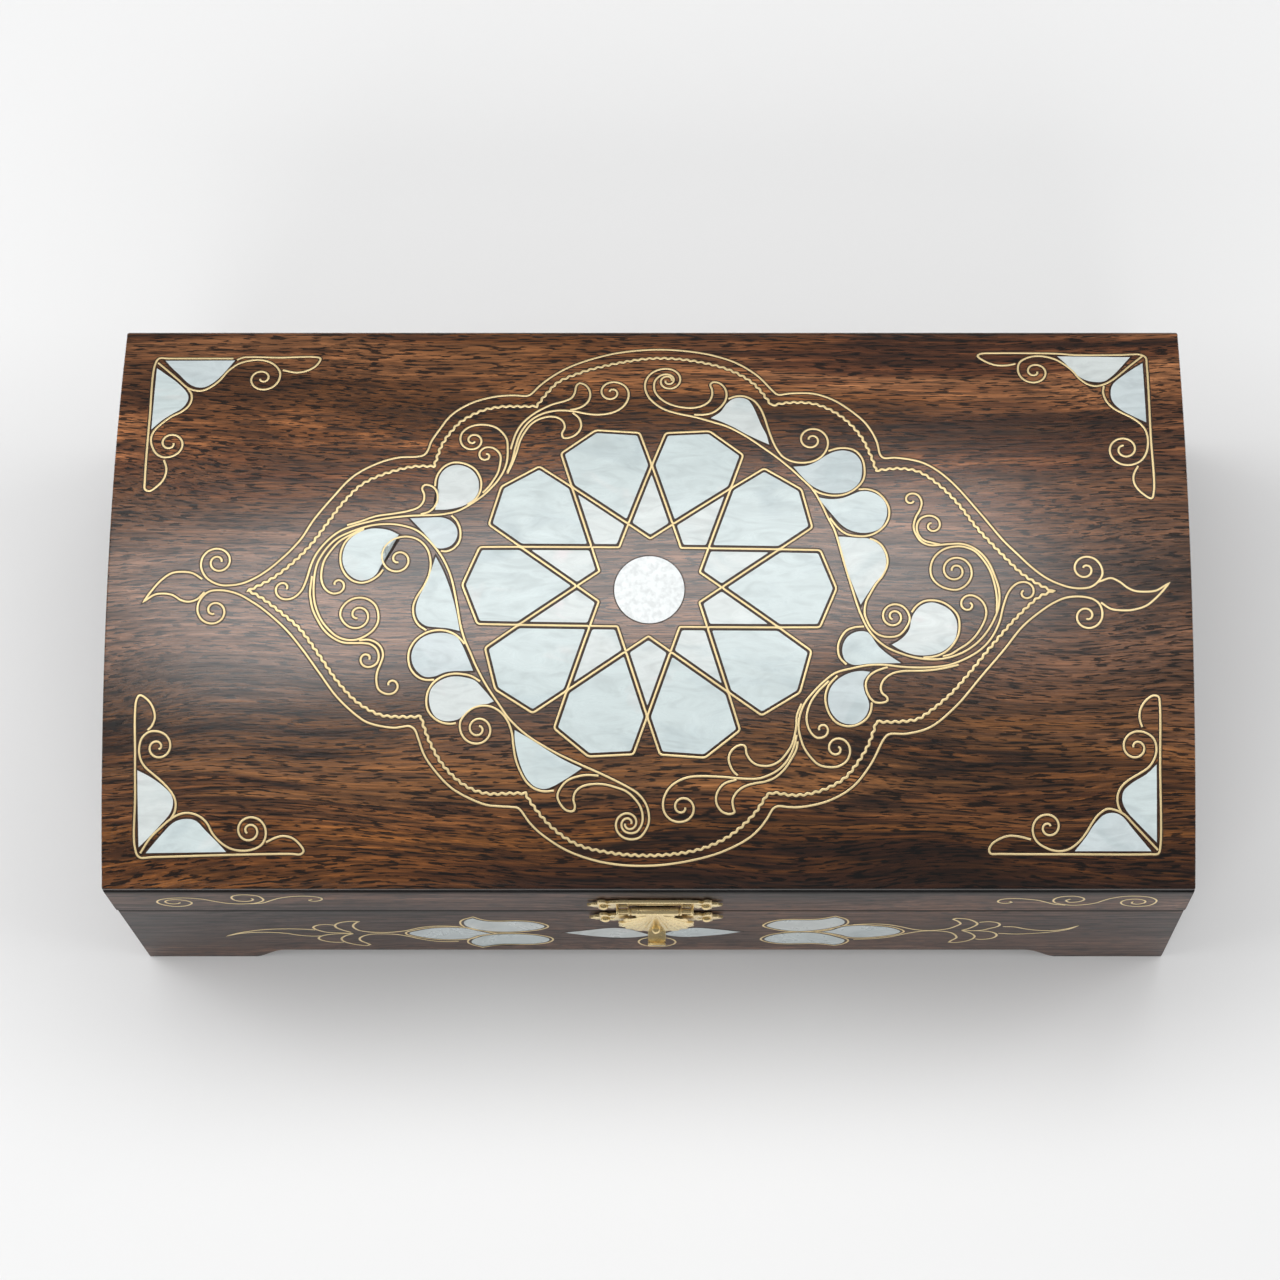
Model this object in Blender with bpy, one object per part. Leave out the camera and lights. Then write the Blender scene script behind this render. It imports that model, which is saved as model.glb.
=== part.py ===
"""An inlaid walnut box: a footed base and a barrel-topped lid, joined by two butt hinges and a brass clasp.

Frame: +X along the box, the clasp's side faces -Y, +Z up. The origin is under the middle of the whole
object, on the surface that the feet stand on. Every number here is in millimetres; solid() writes metres.
"""

import math

import bmesh
import bpy
from mathutils import Matrix, Vector

METRES = 0.001

# ---------------------------------------------------------------- driving dimensions, in millimetres
LENGTH = 280.0  # of the lid, along X
DEPTH = 152.0  # of the lid, along Y
SEAM_Z = 60.0  # where the lid meets the base
EDGE_Z = 85.0  # the lid's long top edges
DOME_RISE = 13.7  # the crown above those edges
DOME_LIP = 1.1  # thickness of the top board at its long edges
BASE_INSET = 0.25  # the base stands back from the lid by this on every side
BOARD = 9.0  # thickness of the wall boards
GAP = 0.3  # left between pieces that touch
MITRE_SHARE = 0.7  # of GAP, taken off each board's end, as the mitre meets at 45 degrees

APRON_Z = 9.2  # the boards' lower edge between the feet
FOOT = 28.5  # flat underside of a foot, measured from the corner
FOOT_CURVE = 10.0  # run of the soft step from foot to apron

PANEL = 4.0  # bottom panel's thickness
PANEL_Z = 10.0  # its underside
GROOVE = 3.0  # how far it enters the boards
PAD = 2.0  # velvet floor pad
LINING = 1.2  # velvet covered card on the walls
LINING_DROP = 3.0  # the wall lining stops this far below the rim
LID_LINING = 1.5

HINGE_X = 82.0  # hinge middles, left and right of centre
LEAF_LENGTH = 30.0
LEAF_IN_BOARD = 7.0  # how far a leaf reaches into the board's edge
LEAF = 0.9  # leaf thickness
KNUCKLE_RADIUS = 1.95
KNUCKLE_BORE = 1.05
PIN_RADIUS = 0.75
KNUCKLE_HALF = 5.0  # half of the middle knuckle's length
HINGE_OUT = KNUCKLE_RADIUS + GAP + 0.05  # the pin's axis behind the back face
SCREW_X = 9.5  # screws left and right of a hinge's middle
SCREW_IN = 3.8  # screws in front of the back face
SCREW_HEAD, SCREW_SHANK, SCREW_LENGTH = 1.7, 0.8, 7.0
SCREW_SUNK = 0.05  # heads below the leaf's face

CLASP_X = 1.3  # the clasp sits a little right of the middle
PLATE = 0.9  # clasp plate thickness
CLASP_PIN_Z = 68.5
LUG_RADIUS = 1.75
LUG_BORE = 0.95
CLASP_PIN_RADIUS = 0.65
CLASP_PIN_OUT = GAP + LUG_RADIUS  # the pin's axis in front of the front face
LUG_INNER, LUG_OUTER = 6.5, 10.0  # the lugs, left and right of the clasp's middle
STUB_SHY = 0.2  # the plate's stub inside a lug is this much smaller than the lug
HASP_KNUCKLE = 6.2  # half length of the hasp's own knuckle
HASP_BACK, HASP_FRONT = 1.8, 2.7  # the flap's faces, in front of the front face
CATCH_Z = 54.3  # middle of the lower plate
KNOB_DROP = 13.5  # knob below the pin
KNOB, KNOB_SHANK = 1.35, 0.6
KNOB_ANGLES = (15, 147)  # the ball's profile, in degrees from its front to its neck
NAIL_X = 13.3
NAIL_HEAD, NAIL_SHANK, NAIL_LENGTH = 1.2, 0.45, 7.0
NAIL_DOME = 0.75  # height of the round head
WING_Z = 70.3  # middle of the upper plate's wings
TAB_HALF = 2.35
TAB_REACH = 6.3  # the curled finger tab in front of the front face

PEARL = 1.5  # thickness of a piece of mother of pearl
PEARL_INSET = 0.9  # pearl edge inside the wire that frames it
ROSETTE_FOLDS = 10
ROSETTE_T = 0.85  # the star's centre behind the crown line
ROSETTE_TURN = -0.6  # degrees that the star is turned
ROSETTE_WIDE = 1.015  # the star is this much wider than round, and as much less deep
CENTRE_T = 0.1  # the round centre piece behind the crown line
PETAL_INNER = 18.4  # wire vertices of one petal, as radius and half angle
PETAL_WAIST, PETAL_WAIST_ANGLE = 34.7, 18.0
PETAL_SHOULDER, PETAL_SHOULDER_ANGLE = 44.7, 13.7
PETAL_TIP = 47.6
KITE_INNER = 13.4
CENTRE_RADIUS = 9.05
CENTRE_SIDES = 32

# ---------------------------------------------------------------- worked out from those
HINGE_REACH = HINGE_OUT + KNUCKLE_RADIUS
BODY_Y = (TAB_REACH - HINGE_REACH) / 2  # puts the whole object's middle on the origin
FRONT_Y = BODY_Y - DEPTH / 2
BACK_Y = BODY_Y + DEPTH / 2
BASE_FRONT_Y = FRONT_Y + BASE_INSET
BASE_BACK_Y = BACK_Y - BASE_INSET
DOME_RADIUS = (DEPTH**2 / 4 + DOME_RISE**2) / (2 * DOME_RISE)
CROWN_Z = EDGE_Z + DOME_RISE
BASE_TOP = SEAM_Z - GAP / 2
LID_BOTTOM = SEAM_Z + GAP / 2
TOP_BOARD_Z = EDGE_Z - DOME_LIP
RAIL_TOP = TOP_BOARD_Z - GAP
BASE_LENGTH = LENGTH - 2 * BASE_INSET
BASE_DEPTH = DEPTH - 2 * BASE_INSET
HINGE_AXIS_Y = BACK_Y + HINGE_OUT
HINGE_AXIS = Vector((0.0, HINGE_AXIS_Y, SEAM_Z))
CLASP_AXIS = Vector((CLASP_X, FRONT_Y - CLASP_PIN_OUT, CLASP_PIN_Z))

MATERIALS = {  # base colour, roughness, metallic
    "walnut": ((0.075, 0.036, 0.021), 0.42, 0.0),
    "walnut_dark": ((0.045, 0.027, 0.021), 0.48, 0.0),
    "pearl": ((0.68, 0.76, 0.78), 0.18, 0.0),
    "brass": ((0.83, 0.62, 0.26), 0.22, 1.0),
    "velvet": ((0.16, 0.012, 0.018), 0.95, 0.0),
    "plywood": ((0.36, 0.23, 0.12), 0.7, 0.0),
}


def clear_scene():
    for old in list(bpy.data.objects):
        bpy.data.objects.remove(old, do_unlink=True)


def material(name):
    found = bpy.data.materials.get(name)
    if found:
        return found
    colour, roughness, metallic = MATERIALS[name]
    made = bpy.data.materials.new(name)
    made.use_nodes = True
    shader = made.node_tree.nodes["Principled BSDF"]
    shader.inputs["Base Color"].default_value = (*colour, 1.0)
    shader.inputs["Roughness"].default_value = roughness
    shader.inputs["Metallic"].default_value = metallic
    return made


# ---------------------------------------------------------------- solids
def solid(name, rings, looks, closed=False):
    """One body through rings of points of equal count. An open run is capped, a closed one is a loop."""
    mesh = bpy.data.meshes.new(name)
    shape = bmesh.new()
    loops = [[shape.verts.new(Vector(point) * METRES) for point in ring] for ring in rings]
    pairs = list(zip(loops, loops[1:]))
    if closed:
        pairs.append((loops[-1], loops[0]))
    else:
        shape.faces.new(loops[0])
        shape.faces.new(loops[-1])
    for one, other in pairs:
        for i in range(len(one)):
            j = (i + 1) % len(one)
            shape.faces.new((one[i], one[j], other[j], other[i]))
    bmesh.ops.recalc_face_normals(shape, faces=shape.faces)
    shape.to_mesh(mesh)
    shape.free()
    mesh.materials.append(material(looks))
    made = bpy.data.objects.new(name, mesh)
    bpy.context.scene.collection.objects.link(made)
    return made


def block(name, low, high, looks="walnut"):
    (x0, y0, z0), (x1, y1, z1) = low, high
    ring = [(x0, y0), (x1, y0), (x1, y1), (x0, y1)]
    return solid(name, [[(x, y, z) for x, y in ring] for z in (z0, z1)], looks)


def turned(name, profile, base, direction, looks, sides=12):
    """A turned piece: profile is (radius, distance) from base along direction."""
    turn = Vector(direction).to_track_quat("Z", "Y").to_matrix()
    rings = []
    for radius, distance in profile:
        ring = []
        for i in range(sides):
            angle = 2 * math.pi * i / sides
            local = Vector((radius * math.cos(angle), radius * math.sin(angle), distance))
            ring.append(Vector(base) + turn @ local)
        rings.append(ring)
    return smooth(solid(name, rings, looks))


def smooth(made, limit=math.radians(35)):
    made.data.shade_smooth()
    made.data.set_sharp_from_angle(angle=limit)
    return made


def tool(made):
    """Marks a cutter or a piece to be joined: it is no part of the object by itself."""
    made.hide_render = True
    made.display_type = "WIRE"
    return made


def combine(target, tools, operation):
    for one in tools:
        step = target.modifiers.new(one.name, "BOOLEAN")
        step.operation = operation
        step.object = tool(one)
    return target


def carve(target, *cutters):
    return combine(target, cutters, "DIFFERENCE")


def join(target, *pieces):
    return combine(target, pieces, "UNION")


# ---------------------------------------------------------------- outlines
def rounded_path(corners, steps=5):
    """Points along (x, y, bulge) corners. A bulge is the tangent of a quarter of the next side's arc."""
    path = []
    for (x0, y0, bulge), (x1, y1, _) in zip(corners, corners[1:] + corners[:1]):
        path.append((x0, y0))
        if not bulge:
            continue
        chord = Vector((x1 - x0, y1 - y0))
        normal = Vector((chord.y, -chord.x))
        centre = Vector(((x0 + x1) / 2, (y0 + y1) / 2)) - normal * (1 - bulge**2) / (4 * bulge)
        start = Vector((x0, y0)) - centre
        sweep = 4 * math.atan(bulge)
        for i in range(1, steps):
            turn = Matrix.Rotation(sweep * i / steps, 2)
            path.append(tuple(centre + turn @ start))
    return path


def mirrored(half):
    """A whole outline from its right half, which starts and ends on the mirror line."""
    left = [(-half[i][0], half[i][1], half[i - 1][2]) for i in range(len(half) - 1, 0, -1)]
    return half[:-1] + left


def inset(polygon, distance):
    """A convex, counter-clockwise polygon with every side moved inwards."""
    sides = []
    for (x0, y0), (x1, y1) in zip(polygon, polygon[1:] + polygon[:1]):
        along = Vector((x1 - x0, y1 - y0)).normalized()
        inward = Vector((-along.y, along.x))
        sides.append((Vector((x0, y0)) + inward * distance, along))
    corners = []
    for (p, u), (q, v) in zip(sides[-1:] + sides[:-1], sides):
        run = ((q.x - p.x) * v.y - (q.y - p.y) * v.x) / (u.x * v.y - u.y * v.x)
        corners.append(tuple(p + u * run))
    return corners


# ---------------------------------------------------------------- wall boards
def plain_outline(bottom, top):
    return lambda length: [(-length / 2, bottom), (length / 2, bottom), (length / 2, top), (-length / 2, top)]


def footed_outline(length, steps=8):
    """Front view of a base board: two feet, and a soft step from each up to the apron between them."""
    flat = length / 2 - FOOT
    foot = [(length / 2, BASE_TOP), (length / 2, 0.0)]
    for i in range(steps + 1):
        part = i / steps
        foot.append((flat - FOOT_CURVE * part, APRON_Z * (1 - math.cos(math.pi * part)) / 2))
    return foot + [(-u, z) for u, z in reversed(foot)]


def wall(name, outline, length, outward, distance):
    """A board of the given front view, with 45 degree mitres at both ends."""
    along = Vector((0, 0, 1)).cross(outward)
    reach = length / 2 - GAP * MITRE_SHARE
    rings = []
    for depth in (0.0, BOARD):
        limit = reach - depth
        ring = []
        for u, z in outline:
            flat = outward * (distance - depth) + along * max(-limit, min(limit, u))
            ring.append((flat.x, flat.y + BODY_Y, z))
        rings.append(ring)
    return solid(name, rings, "walnut_dark")


SIDES = {"front": (0, -1, 0), "back": (0, 1, 0), "left": (-1, 0, 0), "right": (1, 0, 0)}


def four_walls(label, kind, length, depth, outline_of):
    """The front, back, left and right boards of one half of the box."""
    boards = []
    for side, outward in SIDES.items():
        run, across = (length, depth) if outward[1] else (depth, length)
        boards.append(wall(f"{label}_{side}_{kind}", outline_of(run), run, Vector(outward), across / 2))
    return boards


def inner_block(name, low_z, high_z, length, depth, grow, looks):
    """A slab that fills the plan of length by depth, grown or shrunk on every side."""
    x, y = length / 2 + grow, depth / 2 + grow
    return block(name, (-x, BODY_Y - y, low_z), (x, BODY_Y + y, high_z), looks)


# ---------------------------------------------------------------- base
def make_base():
    boards = four_walls("base", "board", BASE_LENGTH, BASE_DEPTH, footed_outline)
    room = (BASE_LENGTH - 2 * BOARD, BASE_DEPTH - 2 * BOARD)
    low, high = PANEL_Z - GAP, PANEL_Z + PANEL + GAP
    for board in boards:
        carve(board, inner_block("groove_" + board.name, low, high, *room, GROOVE, "plywood"))
    panel = inner_block("base_bottom_panel", PANEL_Z, PANEL_Z + PANEL, *room, GROOVE - GAP, "plywood")
    pad_z = PANEL_Z + PANEL + GAP
    pad = inner_block("base_floor_pad", pad_z, pad_z + PAD, *room, -GAP, "velvet")
    low, high = pad_z + PAD + GAP, BASE_TOP - LINING_DROP
    rings = []
    for shrink, z in ((GAP, low), (GAP, high), (GAP + LINING, high), (GAP + LINING, low)):
        x, y = room[0] / 2 - shrink, room[1] / 2 - shrink
        rings.append([(px * x, BODY_Y + py * y, z) for px, py in ((-1, -1), (1, -1), (1, 1), (-1, 1))])
    lining = solid("base_wall_lining", rings, "velvet", closed=True)
    return boards, [panel, pad, lining]


# ---------------------------------------------------------------- lid
def on_dome(x, t, below=0.0):
    """A point at x and at t along the lid's curve from the crown, towards the back where t is positive."""
    angle = t / DOME_RADIUS
    height = CROWN_Z - DOME_RADIUS * (1 - math.cos(angle))
    return Vector((x, BODY_Y + DOME_RADIUS * math.sin(angle), height - below))


def make_top_board(steps=24):
    half_arc = DOME_RADIUS * math.asin(DEPTH / 2 / DOME_RADIUS)
    arc = [on_dome(0.0, half_arc * (1 - 2 * i / steps)) for i in range(steps + 1)]
    section = [(FRONT_Y, TOP_BOARD_Z), (BACK_Y, TOP_BOARD_Z)] + [(point.y, point.z) for point in arc]
    rings = [[(x, y, z) for y, z in section] for x in (-LENGTH / 2, LENGTH / 2)]
    return smooth(solid("lid_top_board", rings, "walnut"))


def on_star(radius, degrees):
    """A point of the star, measured along the lid's surface."""
    angle = math.radians(degrees + ROSETTE_TURN)
    return radius * math.cos(angle) * ROSETTE_WIDE, ROSETTE_T + radius * math.sin(angle) / ROSETTE_WIDE


def wire_petal(middle):
    """The hexagon of wire around one petal, whose middle line is at this angle."""
    corners = ((PETAL_INNER, 0), (PETAL_WAIST, -PETAL_WAIST_ANGLE), (PETAL_SHOULDER, -PETAL_SHOULDER_ANGLE),
               (PETAL_TIP, 0), (PETAL_SHOULDER, PETAL_SHOULDER_ANGLE), (PETAL_WAIST, PETAL_WAIST_ANGLE))
    return [on_star(radius, middle + side) for radius, side in corners]


def wire_kite(middle):
    """The kite of wire between two petals."""
    half = 180 / ROSETTE_FOLDS
    corners = ((KITE_INNER, 0), (PETAL_INNER, -half), (PETAL_WAIST, 0), (PETAL_INNER, half))
    return [on_star(radius, middle + side) for radius, side in corners]


def pearl_piece(name, outline, above=0.0, below=PEARL):
    rings = [[on_dome(x, t, depth) for x, t in outline] for depth in (-above, below)]
    return solid(name, rings, "pearl")


def make_rosette():
    """The star of pearl pieces, and the cutters of the pockets that they lie in."""
    step = 360 / ROSETTE_FOLDS
    turns = [2 * math.pi * i / CENTRE_SIDES for i in range(CENTRE_SIDES)]
    circle = [(CENTRE_RADIUS * math.cos(turn), CENTRE_T + CENTRE_RADIUS * math.sin(turn)) for turn in turns]
    outlines = {"rosette_centre": circle}
    for i in range(ROSETTE_FOLDS):
        outlines[f"rosette_petal_{i + 1:02d}"] = inset(wire_petal(i * step), PEARL_INSET)
        outlines[f"rosette_kite_{i + 1:02d}"] = inset(wire_kite((i + 0.5) * step), PEARL_INSET)
    pieces, pockets = [], []
    for name, outline in outlines.items():
        pieces.append(pearl_piece(name, outline))
        pockets.append(pearl_piece("pocket_" + name, inset(outline, -GAP), DOME_LIP, PEARL + GAP))
    return pieces, pockets


def make_lid():
    top = make_top_board()
    pieces, pockets = make_rosette()
    carve(top, *pockets)
    rails = four_walls("lid", "rail", LENGTH, DEPTH, plain_outline(LID_BOTTOM, RAIL_TOP))
    room = (LENGTH - 2 * BOARD, DEPTH - 2 * BOARD)
    lining = inner_block("lid_lining", RAIL_TOP - LID_LINING, RAIL_TOP, *room, -GAP, "velvet")
    return rails, [top, lining] + pieces


# ---------------------------------------------------------------- hinges
def leaf_section(up, steps=18):
    """Section of a rolled leaf as (distance behind the pin's axis, height): up is 1 for the lid's leaf."""
    near, far = GAP / 2, GAP / 2 + LEAF
    outer_start = math.pi + math.asin(far / KNUCKLE_RADIUS)
    inner_end = math.pi + math.asin(near / KNUCKLE_BORE)
    roll_end = 3 * math.pi - math.radians(10)
    section = [(-HINGE_OUT - LEAF_IN_BOARD, -far)]
    for i in range(steps + 1):
        angle = outer_start + (roll_end - outer_start) * i / steps
        section.append((KNUCKLE_RADIUS * math.cos(angle), KNUCKLE_RADIUS * math.sin(angle)))
    for i in range(steps + 1):
        angle = roll_end + (inner_end - roll_end) * i / steps
        section.append((KNUCKLE_BORE * math.cos(angle), KNUCKLE_BORE * math.sin(angle)))
    section.append((-HINGE_OUT - LEAF_IN_BOARD, -near))
    return [(y, -up * z) for y, z in section]


def screw(name, base, direction, grow=0.0):
    """A countersunk, pointed screw, or with grow the hole that clears it."""
    head, shank = SCREW_HEAD + grow, SCREW_SHANK + grow
    if grow:
        profile = [(head, -LEAF), (head, 0.0), (shank, LEAF), (shank, SCREW_LENGTH + grow)]
    else:
        profile = [(head, 0.0), (shank, LEAF), (shank, SCREW_LENGTH - shank), (shank / 3, SCREW_LENGTH)]
    return turned(name, profile, base, direction, "brass", sides=10)


def make_leaf(name, middle, up):
    """One leaf. The base's leaf has the two outer knuckles, and the lid's leaf has the middle one."""
    rings = []
    for x in (-LEAF_LENGTH / 2, LEAF_LENGTH / 2):
        rings.append([(middle + x, HINGE_AXIS_Y + y, SEAM_Z + z) for y, z in leaf_section(up)])
    leaf = smooth(solid(name, rings, "brass"))
    clear = KNUCKLE_RADIUS + GAP
    if up > 0:
        spans = ((-LEAF_LENGTH, -KNUCKLE_HALF), (KNUCKLE_HALF, LEAF_LENGTH))
    else:
        spans = ((-KNUCKLE_HALF - GAP, KNUCKLE_HALF + GAP),)
    for i, (x0, x1) in enumerate(spans):
        low = (middle + x0, HINGE_AXIS_Y - clear, SEAM_Z - 2 * clear)
        high = (middle + x1, HINGE_AXIS_Y + 2 * clear, SEAM_Z + 2 * clear)
        carve(leaf, block(f"notch_{name}_{i}", low, high))
    return leaf


def make_hinge(label, middle, back_board, back_rail):
    """One butt hinge let into the seam, with its pin and four screws."""
    far = GAP / 2 + LEAF + GAP
    low = (middle - LEAF_LENGTH / 2 - GAP, BACK_Y - LEAF_IN_BOARD - GAP, SEAM_Z - far)
    high = (middle + LEAF_LENGTH / 2 + GAP, HINGE_AXIS_Y, SEAM_Z + far)
    carve(back_board, block(f"mortise_{label}_lower", low, high))
    carve(back_rail, block(f"mortise_{label}_upper", low, high))
    lower = make_leaf(f"hinge_{label}_lower_leaf", middle, -1)
    upper = make_leaf(f"hinge_{label}_upper_leaf", middle, 1)
    ends = [(PIN_RADIUS, 0.0), (PIN_RADIUS, LEAF_LENGTH)]
    start = (middle - LEAF_LENGTH / 2, HINGE_AXIS_Y, SEAM_Z)
    base_side, lid_side = [lower, turned(f"hinge_{label}_pin", ends, start, (1, 0, 0), "brass")], [upper]
    for up, leaf, board, group in ((-1, lower, back_board, base_side), (1, upper, back_rail, lid_side)):
        for i, x in enumerate((-SCREW_X, SCREW_X)):
            name = f"hinge_{label}_{'upper' if up > 0 else 'lower'}_screw_{i + 1}"
            base = (middle + x, BACK_Y - SCREW_IN, SEAM_Z + up * (GAP / 2 + SCREW_SUNK))
            group.append(screw(name, base, (0, 0, up)))
            hole = screw("hole_" + name, base, (0, 0, up), GAP)
            carve(leaf, hole)
            carve(board, hole)
    return base_side, lid_side


# ---------------------------------------------------------------- clasp
def at_front(x, out, z):
    """A point by its place across the clasp, its distance in front of the front face, and its height."""
    return Vector((CLASP_X + x, FRONT_Y - out, z))


def front_plate(name, outline, back, front, height):
    rings = [[at_front(x, out, height + z) for x, z in outline] for out in (back, front)]
    return solid(name, rings, "brass")


def nail(name, x, height, under):
    """A round-headed nail, whose head is proud of a clasp plate; under is the board's set-back."""
    head = GAP + PLATE + GAP
    dome = [(NAIL_HEAD * 0.38, -NAIL_DOME), (NAIL_HEAD * 0.75, -NAIL_DOME * 0.67), (NAIL_HEAD, 0.0)]
    profile = dome + [(NAIL_SHANK, 0.0), (NAIL_SHANK, NAIL_LENGTH)]
    made = turned(name, profile, at_front(x, head - under, height), (0, 1, 0), "brass", sides=10)
    grown = [(NAIL_SHANK + GAP, -PLATE), (NAIL_SHANK + GAP, NAIL_LENGTH + GAP)]
    hole = turned("hole_" + name, grown, at_front(x, head - under, height), (0, 1, 0), "brass", sides=10)
    return made, hole


def wing(inner, top, bottom):
    """Lobed outer part of a clasp plate, as corners from its lower root round the tip to its upper root."""
    return [(inner, bottom, 0.0), (12.0, bottom, 0.5), (15.6, bottom - 1.2, 0.45), (17.6, 0.0, 0.45),
            (15.4, top + 0.9, 0.5), (12.0, top + 0.3, 0.3), (inner, top, 0.0)]


def make_upper_plate():
    """The lid's clasp plate, with a lug on each side of the hasp's knuckle."""
    clear = LUG_RADIUS + GAP + 0.1
    middle = WING_Z - CLASP_PIN_Z
    stub_inner, stub_outer = LUG_INNER + STUB_SHY, LUG_OUTER - STUB_SHY
    half = [(0.0, clear, 0.0), (stub_inner, clear, 0.0)]
    half += [(stub_inner, -STUB_SHY, 0.0), (stub_outer, -STUB_SHY, 0.0)]
    half += [(x, z + middle, bulge) for x, z, bulge in wing(LUG_OUTER + 0.4, 3.4, -3.0)]
    half += [(0.0, 3.4 + middle, 0.0)]
    plate = front_plate("clasp_upper_plate", rounded_path(mirrored(half)), GAP, GAP + PLATE, CLASP_PIN_Z)
    lugs = [along_pin("lug_left", LUG_RADIUS, -LUG_OUTER, -LUG_INNER),
            along_pin("lug_right", LUG_RADIUS, LUG_INNER, LUG_OUTER)]
    join(plate, *lugs)
    return carve(plate, along_pin("lug_bore", LUG_BORE, -LUG_OUTER - GAP, LUG_OUTER + GAP))


def along_pin(name, radius, x0, x1, sides=16):
    """A round bar about the clasp pin's axis."""
    start = CLASP_AXIS + Vector((x0, 0, 0))
    return turned(name, [(radius, 0.0), (radius, x1 - x0)], start, (1, 0, 0), "brass", sides)


def make_lower_plate():
    """The base's clasp plate, with the low catch that the hasp snaps over."""
    half = [(0.0, -4.4, 0.0), (9.0, -4.4, 0.3)] + wing(10.2, 3.4, -3.4) + [(9.0, 4.4, 0.0), (0.0, 4.4, 0.0)]
    back = GAP - BASE_INSET
    return front_plate("clasp_lower_plate", rounded_path(mirrored(half)), back, back + PLATE, CATCH_Z)


def make_hasp():
    """The shell shaped flap, its knuckle on the clasp's pin, and the curled finger tab below."""
    half = [(0.0, -24.6, 0.0), (TAB_HALF, -24.6, 0.35), (5.4, -23.2, 0.35), (8.0, -20.2, 0.35),
            (9.9, -15.8, 0.35), (8.6, -11.6, -0.3), (5.0, -7.6, -0.1),
            (HASP_KNUCKLE - STUB_SHY, -1.3, 0.0), (0.0, -1.3, 0.0)]
    hasp = front_plate("clasp_hasp", rounded_path(mirrored(half), 4), HASP_BACK, HASP_FRONT, CLASP_PIN_Z)
    knuckle = along_pin("hasp_knuckle", LUG_RADIUS, -HASP_KNUCKLE, HASP_KNUCKLE)
    curl = rounded_path([(2.2, -24.4, 0.0), (4.7, -24.9, 0.4), (TAB_REACH, -23.3, 0.0),
                         (TAB_REACH, -22.4, 0.0), (5.5, -22.4, 0.0), (5.5, -23.3, -0.4),
                         (4.7, -24.1, 0.0), (2.2, -23.4, 0.0)])
    rings = [[at_front(side * TAB_HALF, out, CLASP_PIN_Z + z) for out, z in curl] for side in (-1, 1)]
    join(hasp, knuckle, solid("finger_tab", rings, "brass"))
    carve(hasp, along_pin("hasp_bore", LUG_BORE, -LUG_OUTER, LUG_OUTER))
    height = CLASP_PIN_Z - KNOB_DROP
    hole = [(KNOB_SHANK + GAP, 0.0), (KNOB_SHANK + GAP, 3 * PLATE)]
    carve(hasp, turned("hole_knob", hole, at_front(0, HASP_FRONT + PLATE, height), (0, 1, 0), "brass"))
    knob = []
    for i in range(7):
        angle = math.radians(KNOB_ANGLES[0] + (KNOB_ANGLES[1] - KNOB_ANGLES[0]) * i / 6)
        knob.append((KNOB * math.sin(angle), -KNOB * (1 + math.cos(angle))))
    knob += [(KNOB_SHANK, 0.0), (KNOB_SHANK, HASP_FRONT - HASP_BACK + GAP)]
    return hasp, turned("clasp_knob", knob, at_front(0, HASP_FRONT + GAP, height), (0, 1, 0), "brass")


def make_clasp(front_board, front_rail):
    upper, lower = make_upper_plate(), make_lower_plate()
    ends = [(CLASP_PIN_RADIUS, 0.0), (CLASP_PIN_RADIUS, 2 * LUG_OUTER)]
    start = CLASP_AXIS - Vector((LUG_OUTER, 0, 0))
    pin = turned("clasp_pin", ends, start, (1, 0, 0), "brass")
    lid_side, base_side = [upper, pin], [lower]
    for label, plate, board, height, under, group in (
        ("upper", upper, front_rail, WING_Z, 0.0, lid_side),
        ("lower", lower, front_board, CATCH_Z, BASE_INSET, base_side),
    ):
        for i, x in enumerate((-NAIL_X, NAIL_X)):
            made, hole = nail(f"clasp_{label}_nail_{i + 1}", x, height, under)
            carve(plate, hole)
            carve(board, hole)
            group.append(made)
    return base_side, lid_side, list(make_hasp())


# ---------------------------------------------------------------- assembly
def axis_empty(name, place, parent=None):
    """An empty on a joint's axis, which carries everything that turns about it."""
    empty = bpy.data.objects.new(name, None)
    bpy.context.scene.collection.objects.link(empty)
    empty.location = place * METRES
    if parent:
        empty.parent = parent
        empty.location -= parent.location
    return empty


def carry(pieces, empty, place):
    for piece in pieces:
        piece.parent = empty
        piece.matrix_parent_inverse = Matrix.Translation(-place * METRES)


def build():
    clear_scene()
    base_boards, base_inside = make_base()
    lid_rails, lid_pieces = make_lid()
    lid_carries = lid_rails + lid_pieces
    for label, middle in (("left", -HINGE_X), ("right", HINGE_X)):
        lid_carries += make_hinge(label, middle, base_boards[1], lid_rails[1])[1]
    _, lid_clasp, hasp_carries = make_clasp(base_boards[0], lid_rails[0])
    lid_axis = axis_empty("lid_axis", HINGE_AXIS)
    hasp_axis = axis_empty("hasp_axis", CLASP_AXIS, lid_axis)
    carry(lid_carries + lid_clasp, lid_axis, HINGE_AXIS)
    carry(hasp_carries, hasp_axis, CLASP_AXIS)


build()
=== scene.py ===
"""The looks of the inlaid walnut box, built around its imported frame.

Every number is in millimetres until METRES turns it into Blender's metres, but for the materials, the
lights, the camera and the floor, which are in metres. The lid's inlay is drawn flat, as x and t: t runs
along the lid's curve from its crown, towards the back where it is positive. On the front faces t is the
height below the crown, so it is negative.
"""

import math

import bmesh
import bpy
from mathutils import Matrix, Vector


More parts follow.
